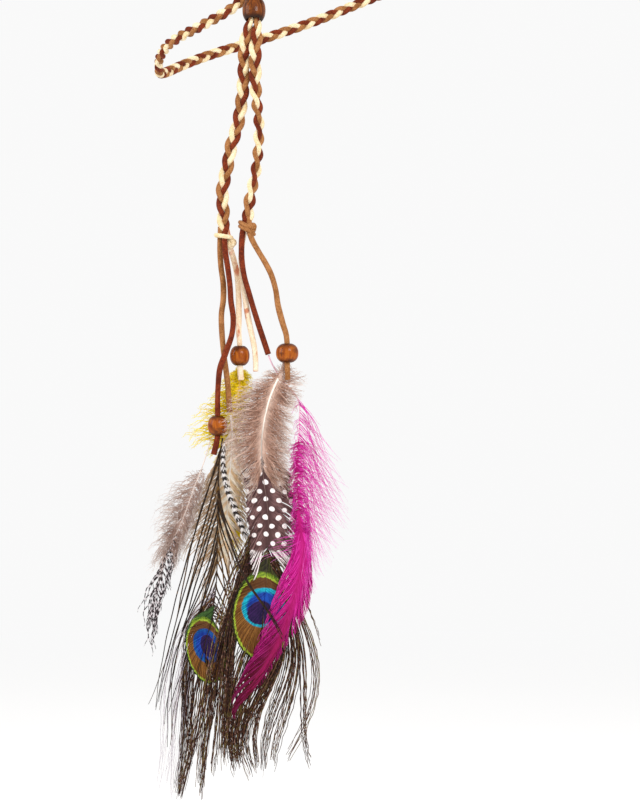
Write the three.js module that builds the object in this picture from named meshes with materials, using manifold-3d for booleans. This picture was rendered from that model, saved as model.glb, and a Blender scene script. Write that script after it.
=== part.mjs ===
// A feathered headdress for one side of the head.
//
// A flat braid of three suede cords goes round the head. Both of its ends pass down
// through one wooden slider bead, so that sliding the bead fits the loop to the head.
// Below the bead the two ends hang as tails. Each tail is tied off with a turn of its
// own cord, and its three cords hang loose from there. Feathers hang from the cords'
// ends, and three of the cords carry a round wooden bead just above their feather.
//
// Millimetres, +Z up. The origin is the centre of the head loop, +X is towards the
// wearer's face, and the tails hang on the -Y side.

import * as THREE from 'three';
import { mergeVertices } from 'three/addons/utils/BufferGeometryUtils.js';
import Module from 'manifold-3d';

const wasm = await Module();
wasm.setup();

// ---------------------------------------------------------------- driving dimensions

const CORD_DIAMETER = 3;
const CORD_SIDES = 8;
const CORD_STEP = 7;

const BRAID_HALF_WIDTH = 3.4;
const BRAID_HALF_DEPTH = 1.9;
const BRAID_SIDES = 8;
const BRAID_STEP = 9;
const LOOP_HALF_LENGTH = 98.5;
const LOOP_HALF_BREADTH = 74;

// Inside the slider bead the strands of each braid are squeezed together.
const SQUEEZED_HALF_WIDTH = 1.5;
const SQUEEZED_HALF_DEPTH = 2.4;
const SQUEEZE_STEP = 2;
const SQUEEZE_LENGTH = 12;

const SLIDER = { radius: 6.1, halfHeight: 5.7, bore: 3.95, tilt: 0.26, place: [-44, -70, -19.5] };
const FRONT_BEAD = { radius: 5.9, halfHeight: 5, bore: 2, place: [-26.4, -77, -200.4] };
const CREAM_BEAD = { radius: 5.2, halfHeight: 5.2, bore: 2, place: [-51.6, -66.5, -201.6] };
const RUST_BEAD = { radius: 5.2, halfHeight: 5.2, bore: 2, place: [-63.2, -69, -238.6] };
const BEAD_SEGMENTS = 20;
const BEAD_PROFILE_STEPS = 10;
const BEAD_ROUNDNESS = 2.3;

const FEATHER_EDGE = 0.45;
const FEATHER_SECTIONS_PER_ROW = 3;

const COLOURS = {
  rust: 0x8a3a24,
  tan: 0xb9824a,
  cream: 0xeadcb8,
  braid: 0xa8623c,
  wood: 0x8a4a17,
  peacock: 0x4a3c26,
  guinea: 0x8d7770,
  magenta: 0xc81f96,
  yellow: 0xe0cb2c,
  tanFeather: 0xc49a72,
  barred: 0x55504c,
};

// ---------------------------------------------------------------- routes and outlines

// The head loop, from the slider bead round the front, the far side and the back of
// the head to the bead again. It is high at the forehead and low behind.
const HEAD_ROUTE = [
  [-42.25, -69.95, -19.2], [-42.25, -68.9, -15.5], [-42.1, -67.9, -11.5], [-40.2, -67.6, -8.3],
  [-36, -68.6, -7.2], [-25, -71.4, -5], [-10, -73.6, -0.5], [10, -73.6, 6], [35, -69, 15],
  [60, -58.5, 24.5], [80, -43.5, 32.5], [93, -25, 37.8], [98.8, 0, 40], [93, 25, 37.8],
  [80, 43.5, 32.5], [60, 58.5, 24.5], [35, 69, 15], [10, 73.6, 5.5], [-10, 73.6, -2.5],
  [-30, 70.5, -10], [-50, 63.9, -17.5], [-66, 55, -23.5], [-80, 43.5, -30], [-90, 31, -36],
  [-96.2, 16, -41], [-98.4, 4, -42.6], [-98.3, -8, -41.1], [-96.8, -20, -37.4],
  [-91.8, -32, -32.6], [-85, -40, -29.3], [-73, -50.5, -24.9], [-62.4, -57.6, -20.4],
  [-53, -62.4, -15.2], [-49, -64.7, -10.4], [-46.8, -66.5, -8.4], [-45.75, -67.8, -11],
  [-45.75, -68.9, -15.5], [-45.75, -69.95, -19.2],
];

const REAR_TAIL_ROUTE = [
  [-45.75, -70.1, -19.6], [-45.8, -71.4, -24.5], [-47.5, -71, -31], [-48.9, -70.2, -40],
  [-49.3, -70, -52], [-49.9, -70, -62], [-51, -70, -71], [-52.6, -70, -80],
  [-56, -70, -91], [-57.4, -70, -99], [-59.2, -70, -107], [-60.7, -70, -115],
  [-60.2, -70, -125], [-60, -70, -136.2],
];

const FRONT_TAIL_ROUTE = [
  [-42.25, -70.1, -19.6], [-42.2, -71.5, -24.5], [-42.4, -72.4, -31], [-43.2, -73, -40],
  [-43.3, -73, -52], [-43, -73, -62], [-42.2, -73, -71], [-41.2, -73, -81],
  [-41.5, -73, -89], [-42, -73, -97], [-43, -73, -105], [-45, -73, -114],
  [-46.6, -73, -123], [-47.4, -73, -131],
];

const CORD_ROUTES = {
  rear_cord_tan: [
    [-61.9, -69.3, -141.2], [-61.9, -69, -147], [-61.4, -69, -155], [-60.2, -69, -164],
    [-60.2, -69, -172], [-61.2, -69, -180], [-60.9, -69, -190], [-59.9, -69, -201],
    [-58.7, -69, -210], [-57.9, -68.6, -217], [-57.3, -68.1, -225], [-56.8, -67.6, -231.5],
  ],
  rear_cord_rust: [
    [-59.4, -72.7, -141.4], [-59, -73.2, -147], [-57.6, -73.8, -156], [-56.5, -74.2, -165],
    [-56, -74.2, -173], [-54.8, -74.2, -182], [-55.5, -74.2, -190.5], [-58.7, -74, -200],
    [-61.8, -73, -208.5], [-62.8, -71.4, -217], [-63.2, -69.6, -225], [-63.2, -69, -231],
    [-63.2, -69, -238], [-63.3, -69, -244.4], [-64.1, -69, -249], [-65.3, -69, -253.8],
  ],
  rear_cord_cream: [
    [-56.2, -67.3, -146.2], [-54.6, -66.5, -151.5], [-53, -66, -159.5], [-52.2, -66, -171],
    [-52.1, -66, -182.5], [-52.2, -66.3, -189], [-51.7, -66.5, -195], [-51.6, -66.5, -201],
    [-51.5, -66.5, -207.5], [-50.9, -66.5, -214.5],
  ],
  front_cord_tan: [
    [-46.2, -74.9, -137.2], [-44.6, -75.2, -141.4], [-41.5, -75.7, -147], [-38.2, -76.1, -152.5],
    [-34.9, -76.5, -159], [-32.5, -76.8, -167], [-31.2, -77, -175.5], [-29, -77, -184],
    [-26.9, -77, -191], [-26.4, -77, -197], [-26.4, -77, -204], [-26.1, -77.2, -214.5],
  ],
  front_cord_rust: [
    [-50, -74, -137.2], [-50.4, -74, -143], [-50.3, -73.8, -151], [-49, -73.6, -160],
    [-46.6, -73.4, -168.5], [-44.3, -73.2, -176.5], [-41.5, -73, -185.5], [-38.7, -72.6, -194],
    [-36.4, -72.2, -201],
  ],
  front_cord_cream: [
    [-49.3, -70.6, -137.2], [-50.3, -70.4, -143], [-50.7, -70.2, -151], [-50, -70, -160],
    [-48.6, -70, -171.5], [-46.8, -70, -183], [-45.2, -70, -190.5], [-43.7, -70, -198],
    [-43.1, -70, -205], [-43.1, -70, -210],
  ],
};

// Each feather, from its quill down: height, left edge, right edge, depth and half of
// its thickness at the shaft.
const FEATHERS = {
  guinea_feather: {
    colour: COLOURS.guinea,
    rows: [
      [-206.6, -28.2, -26.2, -73.6, 0.7], [-212, -40, -19, -73.2, 1.6],
      [-219, -50, -19.5, -74.4, 2], [-230, -56, -23.5, -75.4, 2.2],
      [-242, -58.5, -24, -75.6, 2.2], [-254, -58.3, -24, -75.8, 2], [-263, -52, -24.4, -76, 1.5],
      [-272, -48, -23.5, -76.4, 1.2], [-284, -48, -20.5, -76.6, 1.1],
      [-296, -46, -21.3, -76.6, 1], [-304, -46, -22, -76.6, 0.9],
      [-311, -45.5, -20.5, -76.6, 0.8], [-318, -44, -23, -76.6, 0.7],
    ],
  },
  magenta_feather: {
    colour: COLOURS.magenta,
    rows: [
      [-203.2, -36.8, -34.9, -71.2, 0.7], [-214, -30.6, -28.6, -70, 0.7],
      [-224, -24, -17, -70.4, 0.9], [-236, -21.6, -9, -73.5, 1.2], [-248, -22, -4, -78, 1.4],
      [-262, -22.5, 0, -80.6, 1.4], [-280, -22, 2, -81.6, 1.4], [-296, -24, 1.5, -81.8, 1.3],
      [-312, -30, -6, -81.8, 1.2], [-328, -38, -13.5, -81.6, 1.2], [-345, -46, -17.5, -81.4, 1.1],
      [-360, -51, -29, -81.2, 1], [-374, -54.5, -38, -81, 0.9], [-387.5, -54.6, -51, -80.8, 0.7],
    ],
  },
  peacock_feather_front: {
    colour: COLOURS.peacock,
    rows: [
      [-211.4, -44, -42.2, -70.2, 0.8], [-240, -42.6, -40.4, -71.6, 0.8],
      [-265, -42.4, -37, -73, 0.8], [-285, -44, -31, -73.8, 0.9], [-303, -50.5, -23, -74, 1.1],
      [-320, -54.8, -17, -74, 1.2], [-338, -56.5, -11, -74, 1.2], [-356, -55.5, -9.5, -74, 1.2],
      [-375, -53.5, -13, -74, 1.1], [-395, -50, -16.5, -74, 1], [-412, -47, -15.5, -74, 0.9],
      [-419, -45, -33, -74, 0.7],
    ],
  },
  peacock_feather_rear: {
    colour: COLOURS.peacock,
    rows: [
      [-244.8, -61.3, -59.8, -69.4, 0.7], [-256, -63.2, -60.9, -69.4, 0.7],
      [-270, -69, -60.2, -69.2, 0.8], [-285, -76, -57.6, -69, 1], [-302, -82, -56, -69, 1.1],
      [-320, -87, -55, -69, 1.2], [-340, -91.5, -54.5, -69, 1.2], [-362, -95.5, -54, -69, 1.2],
      [-384, -98, -53.5, -69, 1.1], [-402, -96, -53.5, -69, 1], [-418, -91, -56, -69, 0.9],
      [-434, -87, -70, -69, 0.7],
    ],
  },
  barred_feather: {
    colour: COLOURS.barred,
    rows: [
      [-247, -60.2, -58.6, -72.3, 0.5], [-256, -61.4, -59, -72.2, 0.5],
      [-266, -61, -58, -72, 0.5], [-276, -58.4, -54.6, -72, 0.5],
      [-287, -54.4, -50.6, -72, 0.5], [-297, -49.6, -47, -72.2, 0.5],
    ],
  },
  yellow_feather: {
    colour: COLOURS.yellow,
    rows: [
      [-207.6, -53.4, -51.6, -63, 0.7], [-213, -58, -46, -62.6, 1.2],
      [-224, -67, -46, -62, 1.4], [-236, -77, -48, -61.6, 1.4], [-247, -80, -49.5, -61.8, 1.3],
      [-258, -66, -50, -62.4, 1.1], [-280, -59.5, -49, -62.6, 1], [-297, -57, -51, -62.6, 0.7],
    ],
  },
  tan_feather: {
    colour: COLOURS.tanFeather,
    rows: [
      [-232.6, -57.2, -55.6, -67, 0.6], [-244, -57.6, -53.4, -66.4, 0.7],
      [-256, -62.6, -50, -66, 0.9], [-272, -67, -47, -65.8, 0.9], [-288, -70, -46, -65.8, 0.9],
      [-304, -70.5, -47.5, -65.8, 0.8], [-316, -67, -57, -65.8, 0.6],
    ],
  },
  small_guinea_feather: {
    colour: COLOURS.guinea,
    rows: [
      [-246.4, -68, -66.4, -66, 0.6], [-258, -72.6, -69, -65.8, 0.8],
      [-272, -86, -71, -65.8, 1.2], [-286, -92, -73.6, -65.8, 1.4], [-300, -93.5, -80, -65.8, 1.1],
      [-314, -97, -85, -65.8, 0.8], [-332, -100, -92, -65.8, 0.7], [-348, -101, -98.4, -65.8, 0.6],
    ],
  },
};

// ---------------------------------------------------------------- helpers

const vector = (point) => new THREE.Vector3(...point);

function finish(colour, roughness) {
  return new THREE.MeshStandardMaterial({ color: colour, roughness, metalness: 0 });
}

function namedMesh(name, geometry, material) {
  const mesh = new THREE.Mesh(geometry, material);
  mesh.name = name;
  return mesh;
}

function enclosedVolume(points, faces) {
  let sum = 0;
  for (let i = 0; i < faces.length; i += 3) {
    const [a, b, c] = [points[faces[i]], points[faces[i + 1]], points[faces[i + 2]]];
    sum += a.dot(b.clone().cross(c));
  }
  return sum / 6;
}

// A closed skin over a row of rings that all have the same number of points.
function loft(rings) {
  const sides = rings[0].length;
  const points = rings.flat();
  const faces = [];
  for (let ring = 0; ring + 1 < rings.length; ring++) {
    for (let side = 0; side < sides; side++) {
      const a = ring * sides + side;
      const b = ring * sides + (side + 1) % sides;
      faces.push(a, b, b + sides, a, b + sides, a + sides);
    }
  }
  const last = (rings.length - 1) * sides;
  for (let side = 1; side + 1 < sides; side++) {
    faces.push(0, side + 1, side);
    faces.push(last, last + side, last + side + 1);
  }
  if (enclosedVolume(points, faces) < 0) faces.reverse();
  const geometry = new THREE.BufferGeometry().setFromPoints(points);
  geometry.setIndex(faces);
  geometry.computeVertexNormals();
  return geometry;
}

const smooth = (from, to, x) => THREE.MathUtils.smoothstep(x, from, to);

// Distances along a braid at which it gets a section: close together where it is
// squeezed into the slider bead, and further apart along the rest.
function braidStations(length, bothEnds) {
  const squeezed = Math.round(SQUEEZE_LENGTH / SQUEEZE_STEP);
  const start = Array.from({ length: squeezed }, (_, i) => i * SQUEEZE_STEP);
  const end = bothEnds ? start.map((s) => length - s).reverse() : [length];
  const from = SQUEEZE_LENGTH;
  const to = bothEnds ? length - SQUEEZE_LENGTH : length - BRAID_STEP;
  const count = Math.round((to - from) / BRAID_STEP);
  const middle = Array.from({ length: count + 1 }, (_, i) => from + (to - from) * i / count);
  return [...start, ...middle, ...end];
}

// A flat braid as one oval tube. Its thin side faces the way that facing() gives.
function braid(route, facing, bothEnds) {
  const curve = new THREE.CatmullRomCurve3(route.map(vector), false, 'centripetal');
  curve.arcLengthDivisions = 800;
  const length = curve.getLength();
  const rings = braidStations(length, bothEnds).map((distance) => {
    const centre = curve.getPointAt(distance / length);
    const along = curve.getTangentAt(distance / length);
    const thin = facing(centre).addScaledVector(along, -facing(centre).dot(along)).normalize();
    const wide = new THREE.Vector3().crossVectors(along, thin);
    const fromBead = bothEnds ? Math.min(distance, length - distance) : distance;
    const open = smooth(SQUEEZE_LENGTH * 0.5, SQUEEZE_LENGTH * 1.6, fromBead);
    const halfWidth = THREE.MathUtils.lerp(SQUEEZED_HALF_WIDTH, BRAID_HALF_WIDTH, open);
    const halfDepth = THREE.MathUtils.lerp(SQUEEZED_HALF_DEPTH, BRAID_HALF_DEPTH, open);
    return Array.from({ length: BRAID_SIDES }, (_, side) => {
      const angle = (side + 0.5) * 2 * Math.PI / BRAID_SIDES;
      return centre.clone()
        .addScaledVector(wide, halfWidth * Math.cos(angle))
        .addScaledVector(thin, halfDepth * Math.sin(angle));
    });
  });
  return loft(rings);
}

// A round cord along its route.
function cord(route) {
  const path = new THREE.CatmullRomCurve3(route.map(vector), false, 'centripetal');
  const section = new THREE.Shape();
  for (let side = 0; side < CORD_SIDES; side++) {
    const angle = side * 2 * Math.PI / CORD_SIDES;
    const [x, y] = [Math.cos(angle) * CORD_DIAMETER / 2, Math.sin(angle) * CORD_DIAMETER / 2];
    if (side === 0) section.moveTo(x, y);
    else section.lineTo(x, y);
  }
  section.closePath();
  const steps = Math.ceil(path.getLength() / CORD_STEP);
  return new THREE.ExtrudeGeometry(section, { steps, bevelEnabled: false, extrudePath: path });
}

// A turned wooden bead: a barrel with a straight bore and a narrow flat rim at each end.
function bead({ radius, halfHeight, bore }) {
  const rim = bore + 0.5;
  const reach = (1 - (rim / radius) ** BEAD_ROUNDNESS) ** (1 / BEAD_ROUNDNESS);
  const profile = [new THREE.Vector2(bore, -halfHeight)];
  for (let i = 0; i <= BEAD_PROFILE_STEPS; i++) {
    const share = reach * (2 * i / BEAD_PROFILE_STEPS - 1);
    const width = (1 - Math.abs(share) ** BEAD_ROUNDNESS) ** (1 / BEAD_ROUNDNESS);
    profile.push(new THREE.Vector2(radius * width, halfHeight * share / reach));
  }
  profile.push(new THREE.Vector2(bore, halfHeight));
  profile.push(profile[0].clone());
  const geometry = new THREE.LatheGeometry(profile, BEAD_SEGMENTS);
  return geometry.rotateX(Math.PI / 2);
}

function placedBead(name, shape) {
  const mesh = namedMesh(name, bead(shape), finish(COLOURS.wood, 0.3));
  mesh.position.set(...shape.place);
  mesh.rotation.x = shape.tilt ? -shape.tilt : 0;
  return mesh;
}

// manifold-3d solids, for the knots, which are joined from rounded lumps.
function solidOf(geometry) {
  geometry.deleteAttribute('normal');
  geometry.deleteAttribute('uv');
  const merged = mergeVertices(geometry, 1e-4);
  const vertProperties = new Float32Array(merged.attributes.position.array);
  const triVerts = new Uint32Array(merged.index.array);
  return new wasm.Manifold(new wasm.Mesh({ numProp: 3, vertProperties, triVerts }));
}

function geometryOf(solid) {
  const mesh = solid.getMesh();
  const geometry = new THREE.BufferGeometry();
  geometry.setAttribute('position', new THREE.BufferAttribute(mesh.vertProperties, 3));
  geometry.setIndex(new THREE.BufferAttribute(mesh.triVerts, 1));
  geometry.computeVertexNormals();
  return geometry;
}

function lump([x, y, z], [rx, ry, rz]) {
  return new THREE.SphereGeometry(1, 14, 8).rotateX(Math.PI / 2).scale(rx, ry, rz).translate(x, y, z);
}

// One feather as a thin closed blade: level sections, thickest at the shaft.
function feather(rows) {
  const edges = new THREE.CatmullRomCurve3(rows.map(([z, left, right]) => vector([left, right, z])));
  const body = new THREE.CatmullRomCurve3(rows.map(([, , , depth, half]) => vector([depth, half, 0])));
  const count = (rows.length - 1) * FEATHER_SECTIONS_PER_ROW;
  const rings = Array.from({ length: count + 1 }, (_, i) => {
    const { x: left, y: right, z } = edges.getPoint(i / count);
    const { x: depth, y: half } = body.getPoint(i / count);
    const middle = (left + right) / 2;
    const edge = Math.min(FEATHER_EDGE, half);
    return [
      [left, depth - edge, z], [middle, depth - half, z], [right, depth - edge, z],
      [right, depth + edge, z], [middle, depth + half, z], [left, depth + edge, z],
    ].map(vector);
  });
  return loft(rings);
}

// ---------------------------------------------------------------- the pieces

const headdress = new THREE.Group();

function addHeadLoopAndTails() {
  const fromHead = ({ x, y }) =>
    new THREE.Vector3(x / LOOP_HALF_LENGTH ** 2, y / LOOP_HALF_BREADTH ** 2, 0).normalize();
  const sideways = () => new THREE.Vector3(0, -1, 0);
  const suede = finish(COLOURS.braid, 0.85);
  headdress.add(namedMesh('head_braid', braid(HEAD_ROUTE, fromHead, true), suede));
  headdress.add(namedMesh('rear_tail_braid', braid(REAR_TAIL_ROUTE, sideways, false), suede));
  headdress.add(namedMesh('front_tail_braid', braid(FRONT_TAIL_ROUTE, sideways, false), suede));
}

// Each tail is tied off by a turn of one of its cords, drawn into a small knot.
function addWrapKnots() {
  const rearTurn = solidOf(lump([-60.2, -70.3, -138.7], [4, 3.3, 2.2]));
  const rearKnot = solidOf(lump([-56.3, -69.4, -142.4], [2.3, 2.1, 3]));
  const frontTurn = solidOf(lump([-47.6, -73, -134.4], [3.8, 3.3, 2.5]));
  const frontKnot = solidOf(lump([-45.3, -75, -133.6], [2.1, 1.9, 2.3]));
  const rear = geometryOf(rearTurn.add(rearKnot));
  const front = geometryOf(frontTurn.add(frontKnot));
  headdress.add(namedMesh('rear_wrap_knot', rear, finish(COLOURS.cream, 0.85)));
  headdress.add(namedMesh('front_wrap_knot', front, finish(COLOURS.tan, 0.85)));
}

function addLooseCords() {
  for (const [name, route] of Object.entries(CORD_ROUTES)) {
    const colour = COLOURS[name.split('_').pop()];
    headdress.add(namedMesh(name, cord(route), finish(colour, 0.85)));
  }
}

function addBeads() {
  headdress.add(placedBead('slider_bead', SLIDER));
  headdress.add(placedBead('front_cord_bead', FRONT_BEAD));
  headdress.add(placedBead('cream_cord_bead', CREAM_BEAD));
  headdress.add(placedBead('rust_cord_bead', RUST_BEAD));
}

function addFeathers() {
  for (const [name, { colour, rows }] of Object.entries(FEATHERS)) {
    headdress.add(namedMesh(name, feather(rows), finish(colour, 0.7)));
  }
}

addHeadLoopAndTails();
addWrapKnots();
addLooseCords();
addBeads();
addFeathers();

export default headdress;
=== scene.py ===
# %% [markdown]
# # A feathered headdress, piece by piece
#
# A flat braid of three suede cords goes round the head and closes in one wooden bead.
# Its two ends hang beside the face as tails, and from them hang loose cords, small
# beads and eight feathers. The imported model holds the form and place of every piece.
# This lesson gives each piece its real surface: braided strands, turned wood and, for
# the feathers, thousands of thin barbs made as arrays and joined into one mesh each.

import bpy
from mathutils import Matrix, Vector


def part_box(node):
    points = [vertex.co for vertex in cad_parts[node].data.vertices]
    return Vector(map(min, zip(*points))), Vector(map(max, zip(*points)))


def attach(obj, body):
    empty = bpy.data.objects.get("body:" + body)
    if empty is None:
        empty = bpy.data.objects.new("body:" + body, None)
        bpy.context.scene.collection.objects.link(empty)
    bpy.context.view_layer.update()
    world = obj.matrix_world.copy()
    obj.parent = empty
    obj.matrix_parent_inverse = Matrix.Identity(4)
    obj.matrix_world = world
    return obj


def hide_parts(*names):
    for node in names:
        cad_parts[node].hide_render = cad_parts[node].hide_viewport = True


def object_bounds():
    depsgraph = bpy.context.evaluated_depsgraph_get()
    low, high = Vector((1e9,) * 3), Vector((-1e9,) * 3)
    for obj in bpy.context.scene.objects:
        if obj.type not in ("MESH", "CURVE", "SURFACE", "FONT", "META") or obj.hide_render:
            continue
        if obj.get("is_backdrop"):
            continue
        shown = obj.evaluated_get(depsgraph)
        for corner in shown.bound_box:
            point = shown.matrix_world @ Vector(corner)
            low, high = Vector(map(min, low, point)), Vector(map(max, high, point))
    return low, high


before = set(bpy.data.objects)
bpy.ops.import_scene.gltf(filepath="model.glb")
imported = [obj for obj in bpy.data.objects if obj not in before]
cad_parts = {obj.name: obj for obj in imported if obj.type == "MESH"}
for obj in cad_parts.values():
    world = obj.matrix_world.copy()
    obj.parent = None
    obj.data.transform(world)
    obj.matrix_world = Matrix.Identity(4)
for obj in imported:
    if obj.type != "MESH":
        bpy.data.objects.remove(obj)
cad_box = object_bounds()
print("pieces in the packed model:", len(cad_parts))

# %% [markdown]
# ## Units
#
# The scene is in metres. Cords of 3 mm and barbs of a tenth of that are easier to
# think about in millimetres, so every size and place below is in millimetres, and it
# turns into metres at the moment a mesh is made.

# %% Tools and units
import math

import bpy
import numpy as np
from mathutils import Vector

MM = 0.001
scene = bpy.context.scene
low, high = (1000 * np.array(corner) for corner in cad_box)
print("the object spans, in mm:", np.round(high - low, 1))

# %% [markdown]
# ## The camera
#
# The camera stands level with the middle of the hanging part and looks straight at
# the side of the head. A long lens from about 1.3 m keeps the feathers free of
# distortion.

# %% Set up the camera
CAMERA_PLACE = (-9.2, -1372.0, -225.0)
LENS_LENGTH = 111.15
SENSOR_WIDTH = 36.0

lens = bpy.data.cameras.new("camera")
lens.lens = LENS_LENGTH
lens.sensor_width = SENSOR_WIDTH
camera = bpy.data.objects.new("camera", lens)
camera.location = Vector(CAMERA_PLACE) * MM
camera.rotation_euler = (math.pi / 2, 0, 0)
scene.collection.objects.link(camera)
scene.camera = camera
print("camera distance from the nearest feather, in mm:", round(low[1] - CAMERA_PLACE[1]))

# %% [markdown]
# ## The routes of the cords
#
# Every cord here hangs under its own weight. A cord is a fixed length, so its route is
# written down first, as the points that its middle passes through, and the same
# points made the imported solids. The tails start inside the slider bead and end in a
# knot. The loose cords start in the knots and end at a feather's quill.

# %% Routes through the middle of each cord
HEAD_ROUTE = [
    (-42.25, -69.95, -19.2), (-42.25, -68.9, -15.5), (-42.1, -67.9, -11.5),
    (-40.2, -67.6, -8.3), (-36, -68.6, -7.2), (-25, -71.4, -5), (-10, -73.6, -0.5),
    (10, -73.6, 6), (35, -69, 15), (60, -58.5, 24.5), (80, -43.5, 32.5),
    (93, -25, 37.8), (98.8, 0, 40), (93, 25, 37.8), (80, 43.5, 32.5),
    (60, 58.5, 24.5), (35, 69, 15), (10, 73.6, 5.5), (-10, 73.6, -2.5),
    (-30, 70.5, -10), (-50, 63.9, -17.5), (-66, 55, -23.5), (-80, 43.5, -30),
    (-90, 31, -36), (-96.2, 16, -41), (-98.4, 4, -42.6), (-98.3, -8, -41.1),
    (-96.8, -20, -37.4), (-91.8, -32, -32.6), (-85, -40, -29.3), (-73, -50.5, -24.9),
    (-62.4, -57.6, -20.4), (-53, -62.4, -15.2), (-49, -64.7, -10.4),
    (-46.8, -66.5, -8.4), (-45.75, -67.8, -11), (-45.75, -68.9, -15.5),
    (-45.75, -69.95, -19.2),
]
TAIL_ROUTES = {
    "rear_tail_braid": [
        (-45.75, -70.1, -19.6), (-45.8, -71.4, -24.5), (-47.5, -71, -31),
        (-48.9, -70.2, -40), (-49.3, -70, -52), (-49.9, -70, -62), (-51, -70, -71),
        (-52.6, -70, -80), (-56, -70, -91), (-57.4, -70, -99), (-59.2, -70, -107),
        (-60.7, -70, -115), (-60.2, -70, -125), (-60, -70, -136.2),
    ],
    "front_tail_braid": [
        (-42.25, -70.1, -19.6), (-42.2, -71.5, -24.5), (-42.4, -72.4, -31),
        (-43.2, -73, -40), (-43.3, -73, -52), (-43, -73, -62), (-42.2, -73, -71),
        (-41.2, -73, -81), (-41.5, -73, -89), (-42, -73, -97), (-43, -73, -105),
        (-45, -73, -114), (-46.6, -73, -123), (-47.4, -73, -131),
    ],
}
CORD_ROUTES = {
    "rear_cord_tan": [
        (-61.9, -69.3, -141.2), (-61.9, -69, -147), (-61.4, -69, -155),
        (-60.2, -69, -164), (-60.2, -69, -172), (-61.2, -69, -180), (-60.9, -69, -190),
        (-59.9, -69, -201), (-58.7, -69, -210), (-57.9, -68.6, -217),
        (-57.3, -68.1, -225), (-56.8, -67.6, -231.5),
    ],
    "rear_cord_rust": [
        (-59.4, -72.7, -141.4), (-59, -73.2, -147), (-57.6, -73.8, -156),
        (-56.5, -74.2, -165), (-56, -74.2, -173), (-54.8, -74.2, -182),
        (-55.5, -74.2, -190.5), (-58.7, -74, -200), (-61.8, -73, -208.5),
        (-62.8, -71.4, -217), (-63.2, -69.6, -225), (-63.2, -69, -231),
        (-63.2, -69, -238), (-63.3, -69, -244.4), (-64.1, -69, -249),
        (-65.3, -69, -253.8),
    ],
    "rear_cord_cream": [
        (-56.2, -67.3, -146.2), (-54.6, -66.5, -151.5), (-53, -66, -159.5),
        (-52.2, -66, -171), (-52.1, -66, -182.5), (-52.2, -66.3, -189),
        (-51.7, -66.5, -195), (-51.6, -66.5, -201), (-51.5, -66.5, -207.5),
        (-50.9, -66.5, -214.5),
    ],
    "front_cord_tan": [
        (-46.2, -74.9, -137.2), (-44.6, -75.2, -141.4), (-41.5, -75.7, -147),
        (-38.2, -76.1, -152.5), (-34.9, -76.5, -159), (-32.5, -76.8, -167),
        (-31.2, -77, -175.5), (-29, -77, -184), (-26.9, -77, -191),
        (-26.4, -77, -197), (-26.4, -77, -204), (-26.1, -77.2, -214.5),
    ],
    "front_cord_rust": [
        (-50, -74, -137.2), (-50.4, -74, -143), (-50.3, -73.8, -151),
        (-49, -73.6, -160), (-46.6, -73.4, -168.5), (-44.3, -73.2, -176.5),
        (-41.5, -73, -185.5), (-38.7, -72.6, -194), (-36.4, -72.2, -201),
    ],
    "front_cord_cream": [
        (-49.3, -70.6, -137.2), (-50.3, -70.4, -143), (-50.7, -70.2, -151),
        (-50, -70, -160), (-48.6, -70, -171.5), (-46.8, -70, -183),
        (-45.2, -70, -190.5), (-43.7, -70, -198), (-43.1, -70, -205),
        (-43.1, -70, -210),
    ],
}
print("loose cords:", len(CORD_ROUTES), "and tails:", len(TAIL_ROUTES))

# %% [markdown]
# ## A smooth curve through the points
#
# A cord never turns a corner, so a smooth curve goes through the points of its route.
# The centripetal Catmull-Rom curve passes through every point and makes no loops
# between close ones. Afterwards it is cut into even steps, so that a pattern along
# the cord keeps its pitch.

# %% A curve cut into even steps
STEPS_A_SPAN = 16


def smooth_route(route, step):
    """Points every step mm, or a little less, on a smooth curve through the route."""
    given = np.array(route, float)
    knots = np.vstack([2 * given[0] - given[1], given, 2 * given[-1] - given[-2]])
    gaps = np.sqrt(np.linalg.norm(np.diff(knots, axis=0), axis=1))
    times = np.concatenate([[0], np.cumsum(gaps)])
    pieces = [knots[1:2]]
    for i in range(1, len(knots) - 2):
        t = np.linspace(times[i], times[i + 1], STEPS_A_SPAN + 1)[1:, None]
        t0, t1, t2, t3 = times[i - 1 : i + 3]
        p0, p1, p2, p3 = knots[i - 1 : i + 3]
        a = (p0 * (t1 - t) + p1 * (t - t0)) / (t1 - t0)
        b = (p1 * (t2 - t) + p2 * (t - t1)) / (t2 - t1)
        c = (p2 * (t3 - t) + p3 * (t - t2)) / (t3 - t2)
        d = (a * (t2 - t) + b * (t - t0)) / (t2 - t0)
        e = (b * (t3 - t) + c * (t - t1)) / (t3 - t1)
        pieces.append((d * (t2 - t) + e * (t - t1)) / (t2 - t1))
    dense = np.vstack(pieces)
    reach = distances_along(dense)
    even = np.linspace(0, reach[-1], max(2, math.ceil(reach[-1] / step) + 1))
    return np.stack([np.interp(even, reach, axis) for axis in dense.T], axis=1)


def distances_along(points):
    """How far along the line of points each one lies."""
    steps = np.linalg.norm(np.diff(points, axis=0), axis=1)
    return np.concatenate([[0], np.cumsum(steps)])


for name, route in (CORD_ROUTES | TAIL_ROUTES).items():
    print(name, "is", round(distances_along(smooth_route(route, 1))[-1], 1), "mm long")
print("the head loop is", round(distances_along(smooth_route(HEAD_ROUTE, 1))[-1]), "mm round")

# %% [markdown]
# ## From arrays to a Blender mesh
#
# A feather has tens of thousands of faces. Adding them one at a time is slow, so the
# corners and faces are worked out as arrays and handed over in one go. A number that
# a finish needs later, such as how far a point is from the quill, goes along as an
# attribute, and a map for the finish goes along as a UV layer.


# %% Make one mesh from arrays
def unit(vectors):
    """The same vectors, each one long."""
    return vectors / np.maximum(np.linalg.norm(vectors, axis=-1, keepdims=True), 1e-12)


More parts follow.
